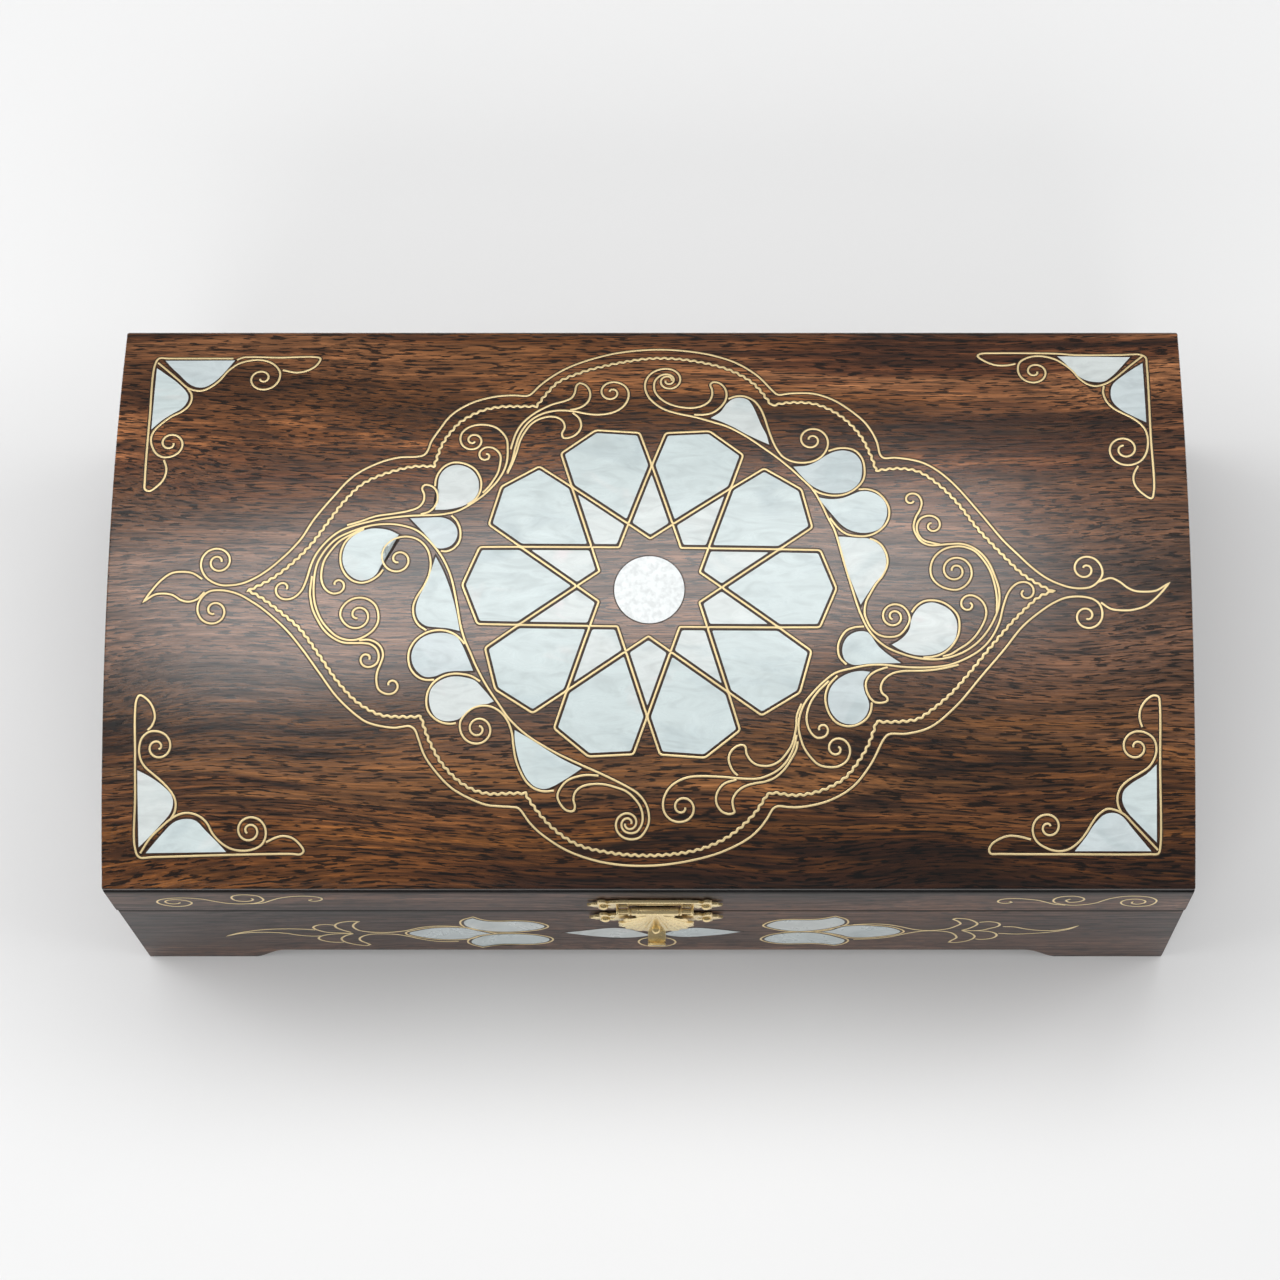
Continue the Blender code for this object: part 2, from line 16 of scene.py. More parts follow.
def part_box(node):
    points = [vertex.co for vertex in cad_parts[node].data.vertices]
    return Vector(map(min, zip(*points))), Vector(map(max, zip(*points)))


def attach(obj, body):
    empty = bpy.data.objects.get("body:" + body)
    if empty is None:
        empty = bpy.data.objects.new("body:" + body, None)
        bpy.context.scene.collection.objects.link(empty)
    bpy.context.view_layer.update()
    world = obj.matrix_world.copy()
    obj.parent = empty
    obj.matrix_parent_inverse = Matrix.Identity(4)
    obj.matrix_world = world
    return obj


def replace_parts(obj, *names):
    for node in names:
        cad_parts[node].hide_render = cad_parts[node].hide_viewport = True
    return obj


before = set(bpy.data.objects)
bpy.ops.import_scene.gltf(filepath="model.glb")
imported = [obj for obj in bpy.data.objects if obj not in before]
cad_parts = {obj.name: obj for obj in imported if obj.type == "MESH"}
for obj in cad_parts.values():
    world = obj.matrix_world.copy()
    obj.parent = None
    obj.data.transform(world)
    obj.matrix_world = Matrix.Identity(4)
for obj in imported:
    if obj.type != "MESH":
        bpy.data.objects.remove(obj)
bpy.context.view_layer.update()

METRES = 0.001
DOME_RISE = 13.7  # the crown above the lid's long edges
SKIN = 0.1  # the wood's top surface lies this far under the frame's, so that the wire isn't proud of it

TOP_LOW, TOP_HIGH = (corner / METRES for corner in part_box("lid_top_board"))
RAIL_LOW, RAIL_HIGH = (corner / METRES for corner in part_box("lid_front_rail"))
BASE_LOW, BASE_HIGH = (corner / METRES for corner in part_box("base_front_board"))
FRONT_Y, BACK_Y, CROWN_Z = TOP_LOW.y, TOP_HIGH.y, TOP_HIGH.z
HALF_DEPTH = (BACK_Y - FRONT_Y) / 2
MIDDLE_Y = (BACK_Y + FRONT_Y) / 2
DOME_RADIUS = (HALF_DEPTH**2 + DOME_RISE**2) / (2 * DOME_RISE)
HALF_LENGTH = TOP_HIGH.x
BASE_SET_BACK = BASE_LOW.y - FRONT_Y  # how far the base's front lies behind the lid's
WIDE_FACE = 20e-6  # in square metres; wooden faces that are wider than this are shaded flat
SHARP_ANGLE = 40  # in degrees; wooden edges that are sharper than this get softened

WIRE, WIRE_TALL = 0.52, 0.08  # width of an inlaid wire, and how proud it is of the wood
LID_FRONT_WIRE, BASE_FRONT_WIRE, TWISTED_WIRE = 0.5, 0.6, 0.62  # widths of the other wires
WIRE_PASTE_AND_SHADOW, FILLER_TALL = 1.15, 0.02  # the dark paste along a wire, wider than it: paste, and painted shadow as a dark edge on each side
PEARL_TALL = 0.06
PEARL_BED = 0.5  # dark paste around a pearl piece
SUNK = 0.35  # how deep the inlay goes
RIM_GAP = 1.0  # from a pearl piece on the base's front to the wire round it
RING = (0.8, -77.5, 5.0, 6.2)  # the ring under the clasp: its centre's x and t, and its two radii
BASE_FRONT_DROP = 1.7  # the base's front is drawn this much too high

STAR_T, STAR_TURN, STAR_WIDE = 0.85, -0.6, 1.015  # the star's centre, its turn in degrees, and its stretch
STAR_FOLDS = 10
PETAL_INNER, PETAL_WAIST, PETAL_SHOULDER, PETAL_TIP = 18.4, 34.7, 44.7, 47.6  # radii of a petal's corners
SHOULDER_ANGLE = 13.7  # in degrees, from a petal's middle to its shoulder
KITE_INNER = 13.4  # radius of a kite's inner corner
PEARL_INSET = 0.9  # from the star's wires to its shell
CENTRE_RADIUS, CENTRE_T = 9.05, 0.1  # the star's round centre
TWIST_LENGTH, TWIST, TWIST_STEPS = 2.0, 0.2, 8  # a turn of the twisted wire, its swing, and its points


# ---------------------------------------------------------------- surfaces that the inlay lies on
def on_lid(x, t, proud=0.0):
    angle = t / DOME_RADIUS
    reach = DOME_RADIUS - SKIN + proud
    return Vector((x, MIDDLE_Y + reach * math.sin(angle), CROWN_Z - DOME_RADIUS + reach * math.cos(angle)))


def on_lid_front(x, t, proud=0.0):
    return Vector((x, FRONT_Y - proud, CROWN_Z + t))


def on_base_front(x, t, proud=0.0):
    return Vector((x, BASE_LOW.y - proud, CROWN_Z + t - BASE_FRONT_DROP))


# ---------------------------------------------------------------- curves
def curl_points(start, curl, step=0.09):
    """Points of a spiral that goes on from start. A curl is its centre's x and t, turns and last radius."""
    x, t, turns, last = curl
    arm = Vector(start[:2]) - Vector((x, t))
    first, angle = arm.length, math.atan2(arm.y, arm.x)
    count = max(3, round(abs(turns) / step))
    points = []
    for i in range(1, count + 1):
        share = i / count
        radius = first + (last - first) * share**0.75
        turned = angle + 2 * math.pi * turns * share
        points.append((x + radius * math.cos(turned), t + radius * math.sin(turned)))
    return points


def smooth_run(points, step=0.7):
    """A smooth curve through the points of one run."""
    points = [Vector(point[:2]) for point in points]
    if len(points) < 3:
        return points
    padded = [2 * points[0] - points[1]] + points + [2 * points[-1] - points[-2]]
    run = [points[0]]
    for a, b, c, d in zip(padded, padded[1:], padded[2:], padded[3:]):
        knots = [0.0]
        for one, other in ((a, b), (b, c), (c, d)):
            knots.append(knots[-1] + max((other - one).length, 1e-6) ** 0.5)
        count = max(1, math.ceil((c - b).length / step))
        for i in range(1, count + 1):
            u = knots[1] + (knots[2] - knots[1]) * i / count
            run.append(through(a, b, c, d, knots, u))
    return run


def through(a, b, c, d, k, u):
    """The centripetal Catmull-Rom curve from b to c, at u between the knots k[1] and k[2]."""
    ab = a * ((k[1] - u) / (k[1] - k[0])) + b * ((u - k[0]) / (k[1] - k[0]))
    bc = b * ((k[2] - u) / (k[2] - k[1])) + c * ((u - k[1]) / (k[2] - k[1]))
    cd = c * ((k[3] - u) / (k[3] - k[2])) + d * ((u - k[2]) / (k[3] - k[2]))
    abc = ab * ((k[2] - u) / (k[2] - k[0])) + bc * ((u - k[0]) / (k[2] - k[0]))
    bcd = bc * ((k[3] - u) / (k[3] - k[1])) + cd * ((u - k[1]) / (k[3] - k[1]))
    return abc * ((k[2] - u) / (k[2] - k[1])) + bcd * ((u - k[1]) / (k[2] - k[1]))


def smooth_line(points, closed=False):
    """A smooth curve with a sharp corner at each point that has a third number."""
    corners = [i for i, point in enumerate(points) if len(point) > 2]
    if closed:
        points = points[corners[0]:] + points[:corners[0]] + [points[corners[0]]]
        corners = [i for i, point in enumerate(points) if len(point) > 2]
    ends = sorted({0, len(points) - 1, *corners})
    line = []
    for low, high in zip(ends, ends[1:]):
        line += smooth_run(points[low:high + 1])[:-1]
    return line if closed else line + [Vector(points[-1][:2])]


def drawn(start, points, end):
    """One wire's line: its points, with a curl at its start, at its end or at both."""
    line = list(points)
    if start:
        line = curl_points(points[0], start)[::-1] + line
    if end:
        line = line + curl_points(points[-1], end)
    return smooth_line(line)


def evenly(line, step, closed=False):
    """The same line, with points at an even step."""
    around = line + line[:1] if closed else line
    lengths = [0.0]
    for one, other in zip(around, around[1:]):
        lengths.append(lengths[-1] + (other - one).length)
    count = max(2, round(lengths[-1] / step))
    even, k = [], 0
    for i in range(count if closed else count + 1):
        wanted = lengths[-1] * i / count
        while k < len(lengths) - 2 and lengths[k + 1] < wanted:
            k += 1
        share = (wanted - lengths[k]) / max(lengths[k + 1] - lengths[k], 1e-9)
        even.append(around[k].lerp(around[k + 1], min(share, 1.0)))
    return even


def normals(line, closed=False, least=0.5):
    """The sideways unit step at every point of a line, up to 1 / least longer at a corner, so that the width
    stays even."""
    found = []
    last = len(line) - 1
    for i, point in enumerate(line):
        before = point - line[i - 1] if i or closed else line[1] - line[0]
        after = line[(i + 1) % len(line)] - point if i < last or closed else before
        before, after = before.normalized(), after.normalized()
        side = Vector((-before.y - after.y, before.x + after.x))
        side = side.normalized() if side.length > 1e-6 else Vector((-after.y, after.x))
        square = max(least, side.dot(Vector((-after.y, after.x))))
        found.append(side / square)
    return found


def finely(line, closed=False, longest=1.0):
    """The line with points added, so that no step is longer than that."""
    fine = []
    around = line + line[:1] if closed else line
    for one, other in zip(around, around[1:]):
        count = max(1, math.ceil((other - one).length / longest))
        fine += [one.lerp(other, i / count) for i in range(count)]
    return fine if closed else fine + [line[-1]]


def twisted(line):
    """The closed line of a twisted wire, which swings from side to side."""
    even = evenly(line, TWIST_LENGTH / TWIST_STEPS, True)
    swung = []
    for i, (point, side) in enumerate(zip(even, normals(even, True))):
        swung.append(point + side * TWIST * math.sin(2 * math.pi * i / TWIST_STEPS))
    return swung


def offset(outline, distance, least=0.5):
    """A counter-clockwise outline, grown by the distance."""
    return [point - side * distance for point, side in zip(outline, normals(outline, True, least))]


def rounded(polygon, radius, steps=4):
    """The polygon with its corners cut to short curves that start this far from each corner."""
    outline = []
    for before, corner, after in zip(polygon[-1:] + polygon[:-1], polygon, polygon[1:] + polygon[:1]):
        first = corner + (before - corner).normalized() * radius
        last = corner + (after - corner).normalized() * radius
        for i in range(steps + 1):
            u = i / steps
            outline.append(first * (1 - u) ** 2 + corner * 2 * u * (1 - u) + last * u**2)
    return outline


def ellipse(x, t, half_wide, half_high, sides):
    angles = [2 * math.pi * k / sides for k in range(sides)]
    return [Vector((x + half_wide * math.cos(a), t + half_high * math.sin(a))) for a in angles]


def counter_clockwise(outline):
    area = sum(a.x * b.y - b.x * a.y for a, b in zip(outline, outline[1:] + outline[:1]))
    return outline if area > 0 else outline[::-1]


# ---------------------------------------------------------------- meshes
def new_piece(name, shape, looks, body, smooth_angle=35):
    """A new object of the given bmesh, riding on a body."""
    bmesh.ops.recalc_face_normals(shape, faces=shape.faces)
    mesh = bpy.data.meshes.new(name)
    shape.to_mesh(mesh)
    shape.free()
    mesh.transform(Matrix.Scale(METRES, 4))
    mesh.materials.append(looks)
    mesh.shade_smooth()
    mesh.set_sharp_from_angle(angle=math.radians(smooth_angle))
    made = bpy.data.objects.new(name, mesh)
    bpy.context.scene.collection.objects.link(made)
    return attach(made, body)


def bridge(shape, loops):
    """Faces from each loop of vertices to the next."""
    for one, other in zip(loops, loops[1:]):
        for i in range(len(one)):
            j = (i + 1) % len(one)
            shape.faces.new((one[i], one[j], other[j], other[i]))


def skin(shape, loops, closed=False):
    """A solid's faces, from loop to loop. It comes back to its first loop, or its two ends are capped."""
    if closed:
        bridge(shape, loops + loops[:1])
    else:
        bridge(shape, loops)
        shape.faces.new(loops[0])
        shape.faces.new(loops[-1])


def add_strip(shape, line, surface, width, tall, closed=False):
    """A strip along a line, with a gently rounded top and its foot in the wood."""
    half, top = width / 2, width / 2 * 0.45
    section = ((-half, -SUNK), (-half, tall / 2), (-top, tall), (top, tall), (half, tall / 2), (half, -SUNK))
    loops = []
    for point, side in zip(line, normals(line, closed)):
        loop = []
        for across, proud in section:
            place = point + side * across
            loop.append(shape.verts.new(surface(place.x, place.y, proud)))
        loops.append(loop)
    skin(shape, loops, closed)


def add_slab(shape, outline, surface, tall, band=2.0):
    """A thin slab of the given outline that follows its surface."""
    flat = bmesh.new()
    face = flat.faces.new([flat.verts.new((*point, 0.0)) for point in outline])
    bmesh.ops.triangulate(flat, faces=[face])
    if surface is on_lid:
        low, high = min(p.y for p in outline), max(p.y for p in outline)
        for i in range(math.floor(low / band), math.ceil(high / band) + 1):
            everything = flat.verts[:] + flat.edges[:] + flat.faces[:]
            bmesh.ops.bisect_plane(flat, geom=everything, plane_co=(0, i * band, 0), plane_no=(0, 1, 0))
    pairs = {}
    for vert in flat.verts:
        x, t = vert.co.x, vert.co.y
        pairs[vert] = (shape.verts.new(surface(x, t, tall)), shape.verts.new(surface(x, t, -SUNK)))
    for face in flat.faces:
        shape.faces.new([pairs[vert][0] for vert in face.verts])
        shape.faces.new([pairs[vert][1] for vert in reversed(face.verts)])
    for rim in flat.edges:
        if rim.is_boundary:
            a, b = rim.verts
            shape.faces.new((pairs[a][0], pairs[b][0], pairs[b][1], pairs[a][1]))
    flat.free()


# ---------------------------------------------------------------- the lid's inlay, traced
# A wire is (curl at its start, points, curl at its end). A point with a third number is a sharp corner.
LID_WIRES = {
    "border_back": ((-111.5, 7.6, -1.64, 0.9), [
        (-114.7, 3.7), (-112.9, 2.2), (-110.6, 1.3), (-108.4, 1.2), (-105.2, 1.7), (-101.8, 3.2),
        (-98.4, 5.5), (-95.2, 8.4), (-92.5, 11.2), (-90, 14.4), (-87.4, 19), (-82.6, 25.6), (-77.4, 31.8),
        (-71.2, 35.6), (-66, 37.3), (-61, 37.6), (-59.2, 38.1), (-58.2, 39.6), (-57.5, 42), (-55.4, 45.8),
        (-52.5, 50.2), (-47.4, 54), (-41, 56.1), (-36, 56.5), (-33.6, 56.3), (-32.1, 56.6), (-29.2, 59.9),
        (-25.4, 63.3), (-20.5, 66.4), (-12, 69.7), (-5.3, 71.1), (1.8, 71.6), (7.2, 71.3), (12.6, 70.5),
        (16.8, 69.4), (22.3, 67.1), (27.8, 63), (32.3, 57.6), (33.4, 56.7), (36.5, 57.1), (42.3, 57.1),
        (45.7, 56.1), (49.4, 54.1), (55.7, 48.5), (57.8, 45.3), (59.2, 42), (60.1, 38), (61, 37.2),
        (63.8, 37.3), (69.7, 36.3), (73, 34.8), (76.3, 32.3), (79.7, 28.8), (86.3, 20.4), (91.6, 13.5),
        (95.3, 9.6), (98.9, 6), (102.5, 3.2), (106.2, 1.4), (108.9, 0.6), (111.6, 0.4), (113.9, 0.8),
        (115.7, 2.1), (117, 4.4)], (112.6, 5.6, 1.45, 0.7)),
    "border_front": ((-112.1, -5.6, 1.45, 0.8), [
        (-114.5, -1.1), (-113.1, -0.3), (-111.1, -0.1), (-108.8, -0.3), (-105.6, -1.3), (-102.5, -3.1),
        (-99.3, -5.3), (-93.4, -10.6), (-89, -15.9), (-84.5, -22.1), (-79.9, -28.3), (-74.5, -33.3),
        (-71.6, -35), (-65.3, -36.2), (-61.2, -35.8), (-59.9, -36.7), (-58.9, -39.2), (-57.1, -43.8),
        (-51.7, -50.5), (-48.3, -53), (-41.7, -55.9), (-38.3, -56.3), (-35, -56.5), (-33.3, -56.8),
        (-30.4, -60.5), (-27.9, -63), (-21.3, -67.4), (-14, -70.1), (-7.3, -71.3), (1, -71.5),
        (9.3, -70.5), (18.2, -68.2), (25.3, -64.7), (28.2, -62.2), (30.3, -59.5), (31.9, -56.9),
        (33, -56.3), (35.7, -56.5), (39, -56.5), (46.1, -54.9), (52.3, -51.3), (56.9, -45.5), (60.3, -39),
        (61.5, -37.9), (66.3, -37.7), (72.2, -36), (78.8, -30.6), (85.5, -22.7), (91.2, -16),
        (96.2, -9.7), (101.6, -5.2), (104.4, -3.4), (107.1, -2.2), (109.8, -1.8), (112.1, -1.9),
        (114.4, -2.5), (116, -3.8)], (112.7, -7, -1.4, 0.8)),
    "finial_left": (None, [
        (-115.4, 2.9), (-117.9, 4.5), (-120.6, 4.9), (-123.4, 4.5), (-126.1, 2.5), (-128.6, -0.6),
        (-130.3, -3.2, 1), (-127.5, -1.3), (-125.2, -1), (-122.9, -1.4), (-120.6, -2.8), (-118.6, -3.2),
        (-116.5, -2.5), (-114.7, -0.6)], None),
    "finial_right": (None, [
        (115.7, 2.1), (117.1, 2.6), (119.1, 3.2), (121.2, 2.3), (123.5, 0.5), (125.3, -0.3), (128, -0.5),
        (130.7, -0.2), (132.8, 1), (134.1, 1.8, 1), (132.5, -0.2), (130.3, -2.5), (128, -4.3), (124.4, -5.4),
        (121.6, -5.5), (118.9, -5.1), (116.4, -3.4)], None),
    "tip_scroll_left": ((-94.2, 0.4, -0.95, 0.6), [
        (-91.5, -2), (-89.7, -0.2), (-88.7, 2.1), (-87.2, 7.5), (-85.8, 10.4), (-83.4, 13.5), (-80.8, 15.8),
        (-78.3, 17.1), (-72, 19), (-67.8, 19.8), (-62.8, 20.4), (-53.7, 20.9), (-50, 21.8), (-46.7, 23.7),
        (-43.3, 26.4), (-41.1, 28.8), (-39.6, 30.8), (-38.3, 33.3), (-37.5, 36.2), (-37.4, 40.3),
        (-37.7, 42.8), (-38.8, 44.7), (-40.6, 46.4), (-42.5, 47.1), (-45, 47.3), (-47.5, 46.6),
        (-49.4, 44.9)], (-46.5, 42.5, 1.5, 0.6)),
    "hook_left": (None, [
        (-78.5, 17.8), (-75.3, 18.8), (-71.2, 20.3), (-67, 21), (-62.8, 21.8), (-60.1, 22.9), (-58.9, 24.6),
        (-58.8, 26.7), (-59.4, 28.3), (-58.7, 29.3), (-57, 29), (-55.8, 27.9), (-55.2, 25.8), (-55.7, 23.5),
        (-57.2, 21.7), (-59.5, 20.9)], None),
    "arc_left": ((-75, -6.8, 1.24, 0.8), [
        (-79.5, -6.9), (-79.1, -4.8), (-77.2, -2.8), (-74.7, -2.1), (-72.4, -2.6), (-70.5, -4.2),
        (-69.7, -6.7), (-69.9, -9), (-71.2, -11), (-73.3, -12.5), (-75.3, -13.3), (-77.8, -13.3),
        (-80.3, -12.4), (-82.6, -10.4), (-84.5, -7.9), (-86.2, -3.5), (-86.6, 1.5), (-86, 6.7), (-84.7, 9.6),
        (-83, 12.1), (-80.8, 14.2), (-77.8, 15.8), (-74.5, 17.1), (-71.2, 17.9), (-67, 18.1), (-63.3, 17.5),
        (-60.3, 16.3), (-57.4, 13.8), (-54.9, 10.8), (-53.3, 8.3), (-51.6, 4.6), (-50.5, 0.8), (-49.5, -4.2),
        (-48.5, -9.5), (-47.5, -13), (-45.8, -16.9), (-44.4, -20.2), (-41.7, -25.2), (-38.3, -30.3),
        (-36.3, -33.2), (-33.8, -35.9), (-30.8, -38.4), (-24.2, -42.4), (-17.5, -45.6), (-11.5, -48.3),
        (-8.2, -49.9), (-5.3, -51.4), (-2.8, -53), (-0.9, -55.3), (0, -57.8), (0.1, -60.3), (-0.7, -62.4),
        (-2.3, -64.3)], (-5.1, -60.7, -1.35, 0.9)),
    "outer_stem_left": (None, [
        (-87.1, 3.7), (-87.4, 0.8), (-87.5, -1), (-87.3, -2.5), (-86.6, -5.4), (-85.3, -8.1), (-83.7, -10.6),
        (-81.4, -12.7), (-78.7, -14), (-76.2, -14.2), (-73.7, -14.2), (-71.6, -14.5), (-70.1, -15.6),
        (-69.4, -17.3), (-69.7, -19.2)], (-72.4, -18.3, -1.0, 0.6)),
    "inner_stem_left": (None, [
        (-74.1, 17), (-77, 15.4), (-80.3, 13.3), (-82.4, 10.8), (-84.1, 7.9), (-84.7, 5), (-84.6, 2.5),
        (-83.7, 0.4), (-82.2, -0.8)], (-80.5, 1.4, 0.86, 0.7)),
    "low_stem_left": (None, [
        (-74.5, -13.5), (-72, -13.3), (-69.9, -14.2), (-68.7, -15.6), (-68.3, -17.5), (-68.9, -19.6),
        (-69.7, -21.7), (-69.9, -24), (-69.3, -26.3), (-67.6, -27.4)], (-66.1, -25.2, 0.85, 0.7)),
    "comma_left": (None, [
        (-74.1, 16.7), (-77, 15), (-78.9, 12.9), (-79.9, 10), (-79.7, 6.7), (-78.5, 4.2), (-76.6, 2.5),
        (-74.3, 1.9), (-72, 2.5), (-69.9, 4), (-68.8, 5.5)], None),
    "leaf_spiral_left": (None, [
        (-57.3, -10.8), (-59.3, -9.4), (-60.5, -7.3), (-60.8, -4.6), (-60, -2.1), (-58, 1.3), (-56.8, 4.6),
        (-56.6, 7.9), (-57.6, 11.3), (-59.9, 13.7), (-62.8, 14.6), (-66, 14), (-68.3, 12.1),
        (-69.2, 9.6)], (-64.9, 8.3, 1.3, 0.8)),
    "lobe_1_left": (None, [
        (-47.4, -14.4), (-48.3, -13.3), (-49.9, -11.9), (-52.4, -10.9), (-54.9, -10.8), (-57.4, -11.5),
        (-59.7, -13.1), (-61.3, -15.4), (-61.8, -17.9), (-61.2, -20.8), (-59.5, -22.9), (-57.4, -23.8),
        (-55.1, -23.8)], None),
    "lobe_2_left": (None, [
        (-43.3, -24.2), (-45.6, -22.8), (-48, -22.3), (-50, -22.2), (-52.4, -22.7), (-54.9, -24.2),
        (-56.4, -26.3), (-57, -28.8), (-56.6, -31.7), (-54.9, -33.8), (-52.8, -34.9), (-50.8, -35.2),
        (-49.4, -35)], None),
    "drop_left": (None, [
        (-47.5, 23.7), (-45.6, 25), (-44.4, 27), (-44, 29), (-44.2, 31), (-45.6, 33.7), (-47.5, 35.1),
        (-49.6, 35.8), (-51.7, 35.8), (-53.8, 34.7), (-55.2, 32.8), (-55.9, 30.8), (-56, 28.9)], None),
    "half_petal_left": (None, [
        (-51.5, 20.5), (-50.1, 19), (-49.1, 16.3), (-49.3, 13.3), (-50.8, 11.3), (-52.6, 10.5),
        (-54, 10.6)], None),
    "small_ring_left": (None, [
        (-43.6, 27), (-42.1, 28.7), (-40.8, 30.8), (-39.8, 32.8), (-39.2, 35.8), (-39.2, 37.8), (-40, 39.3),
        (-41.5, 40.3), (-43.3, 40.3), (-44.6, 39.1)], (-43, 37.9, 0.86, 0.5)),
    "back_hook_left": (None, [
        (-36.6, 39.8), (-36.2, 41.6), (-35.4, 44.5), (-34.2, 47), (-32.5, 49.1), (-30.4, 51), (-28.3, 52.4),
        (-25.8, 53.7), (-22.5, 54.8), (-21, 55.7), (-20.2, 57.3), (-19.8, 59.6), (-19.1, 60.4),
        (-17.7, 60), (-16.6, 58.7), (-16.1, 56.8), (-16.5, 54.8), (-17.8, 53.2), (-19.5, 52.3),
        (-21.3, 51.9)], None),
    "back_scroll_left": (None, [
        (-37.3, 33), (-36.2, 36.2), (-35.4, 40.3), (-34.4, 44.1), (-32.9, 47), (-30.8, 49.3), (-28.3, 50.8),
        (-25.4, 51.6), (-22.5, 51.7), (-19.5, 51.3), (-17, 50.7), (-13.7, 50.4), (-10.3, 51), (-7.8, 52.5),
        (-6.3, 54.8), (-6, 57.3), (-6.8, 59.2)], (-10.5, 57.4, 1.37, 0.6)),
    "back_leaf_left": (None, [
        (-37.3, 32.6), (-36, 35.8), (-35, 39.1), (-34.2, 42.4), (-32.9, 45.3), (-31.3, 47.6), (-29.2, 49.1),
        (-26.7, 49.8), (-24.6, 49.5), (-23.1, 48.3), (-22.6, 46.4), (-23.3, 44.6), (-22.9, 43.3),
        (-20.8, 43.5), (-19, 45), (-18.3, 47), (-18.9, 49.3), (-20.6, 51)], None),
    "front_scroll_left": (None, [
        (-24.2, -52.3), (-26.7, -52.5), (-29.2, -51.8), (-31.3, -50), (-32.9, -47.2), (-34, -44.3),
        (-34.6, -40.9), (-35, -37.6), (-36, -34.7), (-37.7, -32.4), (-40, -30.9), (-42.5, -30.5),
        (-45, -31.1), (-47.1, -32.8), (-48.3, -34.9)], (-43.7, -36.5, 1.75, 0.8)),
    "front_leaf_left": (None, [
        (-12.8, -48.5), (-15.7, -48.3), (-18.2, -48.7), (-20.7, -49.7), (-22.5, -51.6), (-23.3, -53.7),
        (-22.5, -55.8), (-20.9, -57.4), (-19.2, -57.5), (-18.8, -56.4), (-19.2, -54.7), (-18.8, -52.8),
        (-17.3, -51.4), (-14.8, -50.7), (-11.5, -50.7), (-8.6, -51.4), (-5.7, -52.5), (-3.6, -54.3),
        (-2.1, -56.4), (-1.5, -58.7), (-1.7, -60.8), (-3, -62.8)], (-5.1, -60.7, -0.9, 0.7)),
    "tip_scroll_right": ((97, -0.7, -1.05, 0.7), [
        (93.9, 1), (92.5, -0.9), (91.2, -4.5), (90.1, -8.8), (88, -12.9), (85.1, -16), (81.3, -18.3),
        (77.2, -19.9), (73, -20.5), (68.8, -20.6), (64.7, -20.4), (60.5, -19.9), (56.3, -20), (52.2, -20.8),
        (47.9, -22), (45.1, -24.1), (42.3, -26.9), (40.1, -29.7), (38.8, -32.8), (38.4, -35.9),
        (38.9, -38.8), (39.8, -41.3), (41.5, -43.8), (43.6, -45.7), (46.1, -46.3), (48.6, -46.1),
        (50.7, -44.7)], (48.2, -41.6, 1.3, 0.6)),
    "small_ring_right": (None, [
        (46.2, -24.1), (43.4, -26.9), (41.5, -29.7), (40.5, -33), (40.7, -35.5), (41.7, -37.6),
        (43.2, -38.8), (45, -38.5)], (44.4, -36.6, 0.75, 0.7)),
    "hook_right": (None, [
        (79.5, -19.9), (75.1, -20.9), (70.9, -21.4), (64.7, -21.6), (62.2, -22.3), (60.3, -23.8),
        (59.5, -25.8), (59.9, -27.3), (61.1, -28.3), (61.2, -29.2), (60.1, -29.7), (58, -29.6),
        (56.8, -28.5), (55.9, -26.7), (55.7, -24.6), (56.5, -22.9), (58, -21.7), (59.7, -21),
        (61.3, -20.5)], None),
    "arc_right": ((67.9, 25, 0.82, 0.7), [
        (69.7, 26.3), (70.6, 24.4), (70.1, 22.1), (69, 20), (68.4, 17.2), (69.3, 14.6), (70.5, 13.1),
        (72.6, 12.2), (77.2, 12.5), (80.5, 12.6), (83, 11.9), (85.5, 10.2), (87.6, 7.5), (89, 4.2),
        (90.2, 0), (90.1, -4.2), (89, -7.5), (87.2, -10.8), (84.7, -13.8), (81.3, -16.3), (78, -17.7),
        (74.7, -18.4), (71.3, -18.4), (68, -17.9), (64.7, -16.9), (61.3, -15.4), (58.4, -13.1),
        (56.3, -10.4), (54.9, -7.5), (53.8, -4.6), (52.2, 0.8), (50.5, 6.7), (49, 12.6), (47.9, 16.4),
        (46.2, 20), (44.6, 23.7), (42.3, 28), (39.4, 31.2), (37.3, 33.4), (34.8, 35.8), (32.3, 38),
        (29.4, 40.3), (26.5, 42.6), (23.2, 44.9), (19.8, 46.8), (16.5, 48), (11.3, 49.7), (7.2, 50.7),
        (3.8, 51.9), (1.3, 53.6), (-0.8, 56.1), (-1.7, 59), (-1.4, 61.5), (-0.1, 63.6),
        (1.8, 64.8)], (4.4, 61.2, -1.35, 0.9)),
    "outer_stem_right": (None, [
        (89.5, -6.3), (89.6, -2), (89.1, 1.5), (87.9, 5.4), (86.2, 8.3), (84.2, 10.5), (82.2, 11.5),
        (80.1, 11.9), (77.2, 11.5), (75.1, 10.4), (73.4, 8.5), (72.6, 5.8), (73, 3.3), (74.7, 1.3),
        (77.2, 0.2), (79.7, 0.1)], (79, 5.2, 1.73, 0.9)),
    "side_stem_right": (None, [
        (75.5, 12.3), (73, 12.9), (70.9, 13.6), (69.7, 15), (69.2, 16.9), (69.6, 18.8), (70.7, 20),
        (72.6, 20.5)], (73.2, 17.7, -1.0, 0.7)),
    "inner_stem_right": (None, [
        (75.5, -17.7), (77.6, -17.1), (79.3, -16), (81.8, -14.4), (83.8, -12.5), (85.5, -10), (86.6, -7.5),
        (86.8, -5.4), (86.1, -3.5), (84.7, -2.1)], (82.3, -4, 1.05, 0.6)),
    "comma_right": (None, [
